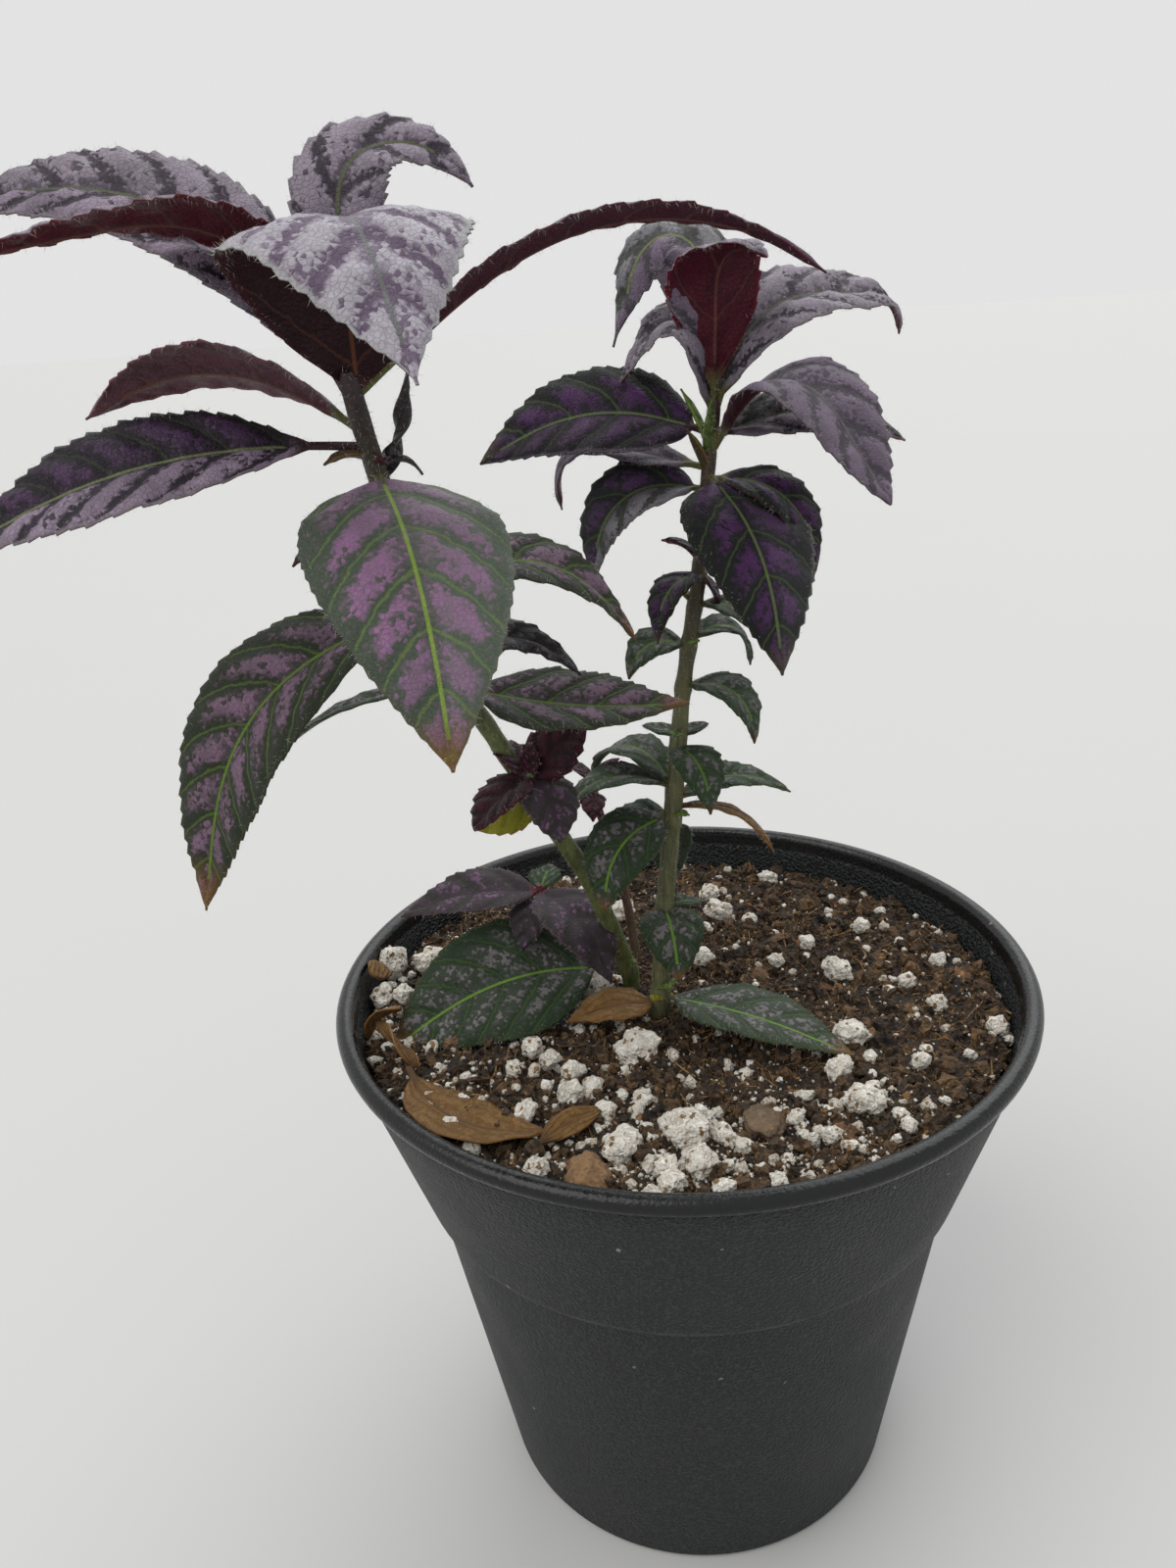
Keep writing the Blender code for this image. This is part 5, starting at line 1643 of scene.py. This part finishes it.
@dataclass
class PottingMix:
    """Potting mix with its perlite, crumbs, fibres, bark and dead leaves."""

    level: float = 117.0
    slope: float = 0.028
    relief: float = 0.9
    roughness: tuple = ((0.16, 3.1, 1.3), (0.5, 7.7, 1.5), (1.2, 1.7, 0.8))
    edge: float = 70.2
    wall: tuple = (67.3, 114.0, 0.29)
    plug_shade: float = 0.1
    lump_shade: float = 0.6
    chip_shade: float = 0.4
    chip_lift: float = 0.45
    lower_rings: tuple = ((57.0, 79.5), (44.7, 2.8))
    sparse: float = 0.35
    heaps: tuple = ((2.6, 2, 34, -54, 17), (1.5, -52, 22, -2, 34))
    rings: int = 110
    sectors: int = 270
    seed: int = 11
    litter_seed: int = 77
    chip_seed: int = 51
    perlite: tuple = (
        (-9.5, -24.5, 10), (-11.5, -55, 7.5), (0, -51, 9), (2.5, -60, 7.5), (34, -19.5, 7.5),
        (33.5, -42, 7.5), (35, 6.5, 6.5), (43.5, 26.5, 5), (-18.5, 0.5, 8), (-22, -38, 6),
        (-26.5, -60, 5), (-33, -11, 6), (-59, 16, 8), (-62, -1, 6), (30, -32, 6), (-3, -65, 5.5),
        (54, -8.5, 4.5), (8, 48, 6), (10, 37, 6.5), (-14, 38, 6.5), (24, 56, 5), (-42, 30, 6))
    pebbles: tuple = (
        (20, -47.5, 3.2), (6.6, -51.7, 3.9), (10, -54.5, 3.1), (15.4, -64, 3.3), (64, -18, 4),
        (49.5, 1.6, 3.5), (-39, -54, 3.2), (5, 14, 4.6), (17.4, 32.6, 3.4), (-18, -36, 4.2),
        (-3.7, -60.6, 4.4), (-67, -1, 5.3), (-68, 13, 8), (-31, -22, 4.5), (-27, -27, 4),
        (-22, -31, 4.4), (-34, -30, 3.6), (-15, -44, 4), (-30, -44, 4.2), (-8, -40, 3.6),
        (26, -52, 3.4), (40, -50, 3), (46, -30, 3.4), (58, 10, 3.6), (30, 20, 3.6), (22, 12, 3.2),
        (-6, -68, 3.8), (6, -66, 3.4), (-44, -48, 3.2), (-50, -42, 3))
    chips: tuple = (("bark_front", "tan_bark", -17.5, -61.5, 9.5, 0.42),
                    ("bark_chip", "grey_bark", 14.5, -47.0, 8.5, 0.45))

    def height(self, x: float, y: float) -> float:
        """Return the smooth height of the soil.

        Args:
            x: Place to the right.
            y: Place to the back.

        Returns:
            The height in millimetres.
        """
        relief = (math.sin(0.31 * x + 1.3) * math.cos(0.27 * y - 0.4)
                  + 0.6 * math.sin(0.57 * x - 0.43 * y) + 0.4 * math.cos(0.83 * y + 0.39 * x))
        dip = 1.2 * math.exp(-((x + 8) ** 2 + (y + 2) ** 2) / 260.0)
        return self.level - self.slope * y + 0.5 * self.relief * relief - dip

    def rough_height(self, x: float, y: float) -> float:
        """Return the height with clods and crumbs.

        Args:
            x: Place to the right.
            y: Place to the back.

        Returns:
            The height in millimetres.
        """
        clods, crumbs, fine = (noise.noise(Vector((x * scale, y * scale, layer))) * much
                               for scale, layer, much in self.roughness)
        return self.height(x, y) + clods + crumbs + fine - 0.5

    def crowd(self, x: float, y: float) -> float:
        """Return how thickly perlite lies at a place: most at the front and at the left side.

        Args:
            x: Place to the right.
            y: Place to the back.

        Returns:
            A factor on the density.
        """
        heaps = [much * math.exp(-((x - middle_x) / half_x) ** 2 - ((y - middle_y) / half_y) ** 2)
                 for much, middle_x, half_x, middle_y, half_y in self.heaps]
        return self.sparse + heaps[0] + heaps[1]

    def surface(self) -> tuple:
        """Return the soil's closed mesh and its open top.

        Returns:
            The plug's mesh and the mesh of its top.
        """
        points = [(0.0, 0.0, self.rough_height(0.0, 0.0))]
        angles = np.linspace(0, 2 * math.pi, self.sectors, endpoint=False)
        wall_radius, wall_level, wall_slope = self.wall
        for radius in np.linspace(0.8, self.edge, self.rings):
            for angle in angles:
                x, y = radius * math.cos(angle), radius * math.sin(angle)
                limit = wall_radius + (self.height(x, y) - wall_level) * wall_slope
                shrink = min(1.0, limit / radius)
                points.append((x * shrink, y * shrink, self.rough_height(x, y) - (1.0 if shrink < 1 else 0)))
        count = self.sectors
        faces = [(0, 1 + i, 1 + (i + 1) % count) for i in range(count)]
        faces += ring_faces(1, self.rings - 1, count)
        top = mesh_from("soil_top", points, faces)
        store(top, "crowd", [self.crowd(x, y) for x, y, _ in points])
        for radius, level in self.lower_rings:
            points += [(radius * math.cos(a), radius * math.sin(a), level) for a in angles]
        faces += ring_faces(1 + (self.rings - 1) * count, len(self.lower_rings), count)
        faces.append(tuple(len(points) - count + i for i in reversed(range(count))))
        return mesh_from("potting_mix", points, faces), top

    def lump(self, name: str, size: float, dice: random.Random, levels: int, flat: float,
             rough: float) -> bpy.types.Mesh:
        """Return an angular pitted lump about the origin, of a size in millimetres.

        Args:
            name: The mesh's name.
            size: Its width.
            dice: A random source.
            levels: How finely it is divided.
            flat: Its height as a share of its width.
            rough: How uneven it is.

        Returns:
            The mesh.
        """
        work = bmesh.new()
        bmesh.ops.create_icosphere(work, subdivisions=levels, radius=0.5)
        shift = Vector([dice.uniform(-50, 50) for _ in range(3)])
        squash = Vector((dice.uniform(0.95, 1.2), dice.uniform(0.75, 0.95), flat))
        turn = Matrix.Rotation(dice.uniform(0, math.pi), 3, 'Z')
        for vert in work.verts:
            way = vert.co.normalized()
            swell = 1 + rough * noise.noise(way * 1.7 + shift) + 0.45 * rough * noise.noise(way * 4.1 + shift)
            if levels > 2:
                swell += 0.28 * rough * noise.noise(way * 9.0 + shift)
            vert.co = turn @ (vert.co * swell * squash) * size * METRES
        return mesh_of(work, name)

    def fibre(self, name: str, dice: random.Random, rings: int, sides: int) -> bpy.types.Mesh:
        """Return a thin bent root or straw fibre about the origin, 1 unit of it 1 mm.

        Args:
            name: The mesh's name.
            dice: A random source.
            rings: Sections along it.
            sides: Points round it.

        Returns:
            The mesh.
        """
        length, radius = dice.uniform(5, 11), dice.uniform(0.10, 0.22)
        bend, sway = dice.uniform(-1.2, 1.2), dice.uniform(-0.6, 0.6)
        turns = [2 * math.pi * i / sides for i in range(sides)]
        points = []
        for ring in range(rings):
            t = ring / (rings - 1) - 0.5
            centre = Vector((t * length, bend * (t * 2) ** 2 * length * 0.15, sway * math.sin(t * 5)))
            thin = radius * (1 - 0.6 * abs(t))
            points += [centre + Vector((0, math.cos(a) * thin, math.sin(a) * thin)) for a in turns]
        faces = [(a, d, c, b) for a, b, c, d in ring_faces(0, rings - 1, sides)]
        faces += [tuple(reversed(range(sides))), tuple(len(points) - sides + i for i in range(sides))]
        return mesh_from(name, [tuple(p) for p in points], faces)

    def shapes(self, grains: Grains, dice: random.Random) -> list:
        """Return the shapes that one kind of grain is picked from.

        Args:
            grains: The kind.
            dice: A random source.

        Returns:
            The shapes' meshes.
        """
        names = [f"{grains.name}_{index}" for index in range(grains.kinds)]
        if grains.fibre:
            return [self.fibre(name, dice, *grains.shape) for name in names]
        return [self.lump(name, 1.0, dice, *grains.shape) for name in names]

    def shelf(self, name: str, meshes: list) -> bpy.types.Collection:
        """Return a hidden collection of shapes for scattering.

        Args:
            name: Its name.
            meshes: The shapes.

        Returns:
            The collection.
        """
        group = bpy.data.collections.new(name)
        for index, mesh in enumerate(meshes):
            group.objects.link(bpy.data.objects.new(f"{name}_{index}", mesh))
        return group

    def clear_shelf(self, group: bpy.types.Collection) -> None:
        """Remove a collection of shapes and its objects.

        Args:
            group: The collection.
        """
        for item in list(group.objects):
            bpy.data.objects.remove(item, do_unlink=True)
        bpy.data.collections.remove(group)

    def place_lumps(self, name: str, lumps: tuple, levels: int, growth: float, flat: float,
                    sink: float, rough: float) -> bpy.types.Mesh:
        """Return lumps set in the soil as one mesh.

        Args:
            name: The mesh's name.
            lumps: Place and size of each.
            levels: How finely each is divided.
            growth: Factor on the sizes.
            flat: Height over width.
            sink: How far the middle is above the soil, as a share of the size.
            rough: How uneven they are.

        Returns:
            The mesh.
        """
        dice = random.Random(self.seed + levels)
        work = bmesh.new()
        for index, (x, y, size) in enumerate(lumps):
            part = self.lump(f"{name}_{index}", size * growth, dice, levels, flat, rough)
            part.transform(Matrix.Translation(Vector((x, y, self.height(x, y) + sink * size)) * METRES))
            work.from_mesh(part)
            bpy.data.meshes.remove(part)
        mesh = mesh_of(work, name)
        keep_in_pot(mesh)
        smooth(mesh)
        add_shade(mesh, self.lump_shade)
        return mesh

    def build(self, skins: dict, trees: dict) -> None:
        """Build the soil and everything that lies on it.

        Args:
            skins: The shared materials.
            trees: The shared geometry trees.
        """
        plug, top = self.surface()
        add_shade(plug, self.plug_shade)
        carry(add_object("potting_mix", plug, skins["soil"]), "potting_mix", "soil")
        for name, lumps, *shape in (("perlite_lumps", self.perlite, 4, 0.9, 0.85, 0.2, 0.36),
                                    ("perlite_pebbles", self.pebbles, 3, 1.1, 0.85, 0.3, 0.4)):
            mesh = self.place_lumps(name, lumps, *shape)
            carry(add_object(name, mesh, skins["perlite"]), "potting_mix")
        dice = random.Random(self.seed)
        shelves = [self.shelf(grains.name + "_shapes", self.shapes(grains, dice)) for grains in GRAINS]
        for grains, shelf in zip(GRAINS, shelves):
            mesh = trees["scatter"].run(grains.name, top.copy(), {
                **grains.values(), "Shapes": shelf, "Finish": skins[grains.skin]})
            self.clear_shelf(shelf)
            keep_in_pot(mesh)
            smooth(mesh, grains.skin == "perlite")
            carry(add_object(grains.name, mesh, None), "potting_mix")
        self.build_litter(skins)

    def build_litter(self, skins: dict) -> None:
        """Build the dead leaves and the two bark chips.

        Args:
            skins: The shared materials.
        """
        for node, litter in (("dry_leaf", DRY_LEAF), ("dry_leaf_tip", DRY_TIP)):
            stack = BladeStack(tooth_step=4.0)
            for index, (leaf, root) in enumerate(litter):
                stack.add(leaf, np.array((*root, leaf.height)), self.litter_seed + index)
            piece = add_object(node + "_blade", stack.mesh(node + "_blade"), skins["leaf"])
            carry(piece, "dead_leaf", node)
        dice = random.Random(self.chip_seed)
        for node, skin, x, y, size, thin in self.chips:
            mesh = self.lump(node + "_bark", size, dice, 4, thin, 0.25)
            place = Vector((x, y, self.height(x, y) + self.chip_lift))
            mesh.transform(Matrix.Translation(place * METRES))
            smooth(mesh)
            add_shade(mesh, self.chip_shade)
            carry(add_object(node + "_bark", mesh, skins[skin]), "dead_leaf", node)


# Studio
@dataclass
class Studio:
    """Camera, floor and soft lights."""

    focal_pixels: float = 1202.0
    picture_height: float = 1600.0
    sensor_width: float = 36.0
    position: tuple = (0.0, -0.225815, 0.258734)
    right: tuple = (0.99672, 0.05417, -0.06017)
    up: tuple = (0.03548, 0.37574, 0.92604)
    forward: tuple = (-0.07277, 0.92514, -0.37259)
    floor_half: float = 20.0
    sky: float = 0.77
    suns: tuple = (("key", (-0.6, -0.45, 0.95), 1.2, 50.0, (1.0, 0.985, 0.96)),
                   ("window", (0.35, 1.0, 1.3), 1.3, 60.0, (0.97, 0.985, 1.0)))

    def camera(self) -> None:
        """Place the camera at the picture's viewpoint."""
        data = bpy.data.cameras.new("camera")
        data.sensor_fit = 'AUTO'
        data.sensor_width = self.sensor_width
        data.lens = self.focal_pixels / self.picture_height * self.sensor_width
        data.clip_start = 0.01
        item = bpy.data.objects.new("camera", data)
        bpy.context.scene.collection.objects.link(item)
        axes = Matrix((self.right, self.up, tuple(-c for c in self.forward))).transposed()
        item.matrix_world = Matrix.Translation(self.position) @ axes.to_4x4()
        bpy.context.scene.camera = item

    def sun(self, name: str, place: tuple, strength: float, spread: float, colour: tuple) -> None:
        """Add a broad soft light from far away.

        Args:
            name: The light's name.
            place: Where it shines from.
            strength: Its strength.
            spread: How broad it is, in degrees.
            colour: Its colour.
        """
        data = bpy.data.lights.new(name, 'SUN')
        data.energy = strength
        data.angle = math.radians(spread)
        data.color = colour
        item = bpy.data.objects.new(name, data)
        item.location = place
        item.rotation_mode = 'QUATERNION'
        item.rotation_quaternion = (-Vector(place)).to_track_quat('-Z', 'Y')
        bpy.context.scene.collection.objects.link(item)

    def build(self, skins: dict) -> None:
        """Make the floor, the lights and the world.

        Args:
            skins: The shared materials.
        """
        mesh = bpy.data.meshes.new("floor")
        half = self.floor_half
        corners = [(-half, -half, 0), (half, -half, 0), (half, half, 0), (-half, half, 0)]
        mesh.from_pydata(corners, [], [(0, 1, 2, 3)])
        add_object("floor", mesh, skins["floor"])
        for light in self.suns:
            self.sun(*light)
        world = bpy.data.worlds.new("studio")
        world.use_nodes = True
        world.node_tree.nodes["Background"].inputs[0].default_value = (1.0, 1.0, 1.0, 1.0)
        world.node_tree.nodes["Background"].inputs[1].default_value = self.sky
        bpy.context.scene.world = world
        bpy.context.scene.view_settings.view_transform = 'Standard'


def make_skins() -> dict:
    """Make every finish.

    Returns:
        The materials by name.
    """
    return {
        "pot": PotPlastic("charcoal_plastic").make(),
        "soil": EarthFinish("dark_potting_mix", contrast=2.0).make(),
        "perlite": EarthFinish("white_perlite", dark=(0.56, 0.49, 0.39), light=(0.95, 0.94, 0.905),
                               fleck=(0.52, 0.42, 0.30), fleck_share=0.42, fleck_size=0.33, scale=1300.0,
                               clumps=420.0, relief=0.0005, contrast=0.7).make(),
        "fibre": EarthFinish("straw_fibre", dark=(0.24, 0.16, 0.09), light=(0.72, 0.56, 0.34),
                             clumps=60.0, contrast=1.1).make(),
        "bark": EarthFinish("brown_bark", dark=(0.15, 0.10, 0.065), light=(0.50, 0.37, 0.24),
                            scale=700.0, clumps=160.0, contrast=1.4).make(),
        "tan_bark": EarthFinish("tan_bark", dark=(0.34, 0.25, 0.16), light=(0.60, 0.47, 0.33),
                                scale=900.0, clumps=260.0).make(),
        "grey_bark": EarthFinish("grey_bark", dark=(0.27, 0.21, 0.16), light=(0.52, 0.44, 0.35),
                                 scale=900.0, clumps=260.0).make(),
        "stem": StemSkin("stem_skin", 0.6).make(),
        "leaf": LeafSkin("leaf_skin", 0.46).make(),
        "hair": PlainFinish("pale_hairs", 0.7).make(),
        "floor": PlainFinish("pale_floor", 0.8, (0.745, 0.745, 0.74), 3.0, 0.99, 1.01).make(),
    }


def plants() -> tuple:
    """Name what grows in the pot.

    Returns:
        The two stems and the two shoots.
    """
    return (
        LeafyStem("plant_right", "leaf_green", RIGHT_STEM, (2.25, 1.15), RIGHT_LEAVES + RIGHT_TRIM,
                  StemTone((0.35, 0.36, 0.25), (0.33, 0.34, 0.22), (0.24, 0.15, 0.12)), seed=1),
        LeafyStem("plant_left", "leaf_purple", LEFT_STEM, (2.05, 1.5), LEFT_LEAVES + LEFT_TRIM,
                  StemTone((0.32, 0.35, 0.20), (0.31, 0.35, 0.19), (0.15, 0.08, 0.11)),
                  twigs=((SIDE_SHOOT, SIDE_LEAVES),), seed=2),
        LeafyStem("shoot_low", "leaf_purple", LOW_SHOOT, (1.2, 0.9), LOW_LEAVES,
                  StemTone((0.33, 0.25, 0.16), (0.33, 0.20, 0.17), (0.32, 0.09, 0.14)), seed=3),
        LeafyStem("shoot_back", "leaf_purple", BACK_SHOOT, (1.2, 0.9), BACK_LEAVES,
                  StemTone((0.32, 0.26, 0.18), (0.30, 0.18, 0.15), (0.28, 0.08, 0.12)), seed=4),
    )


def main() -> None:
    """Build the studio, the pot, the soil and the plants, and note the sizes."""
    logging.basicConfig(level=logging.INFO, format="%(name)s: %(message)s")
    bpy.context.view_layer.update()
    skins = make_skins()
    trees = {"sweep": SweepTree(), "lathe": LatheTree(), "scatter": ScatterTree(), "fuzz": FuzzTree()}
    studio = Studio()
    studio.camera()
    studio.build(skins)
    NurseryPot().build(skins, trees)
    PottingMix().build(skins, trees)
    for plant in plants():
        plant.build(skins, trees)


if __name__ == "__main__":
    main()
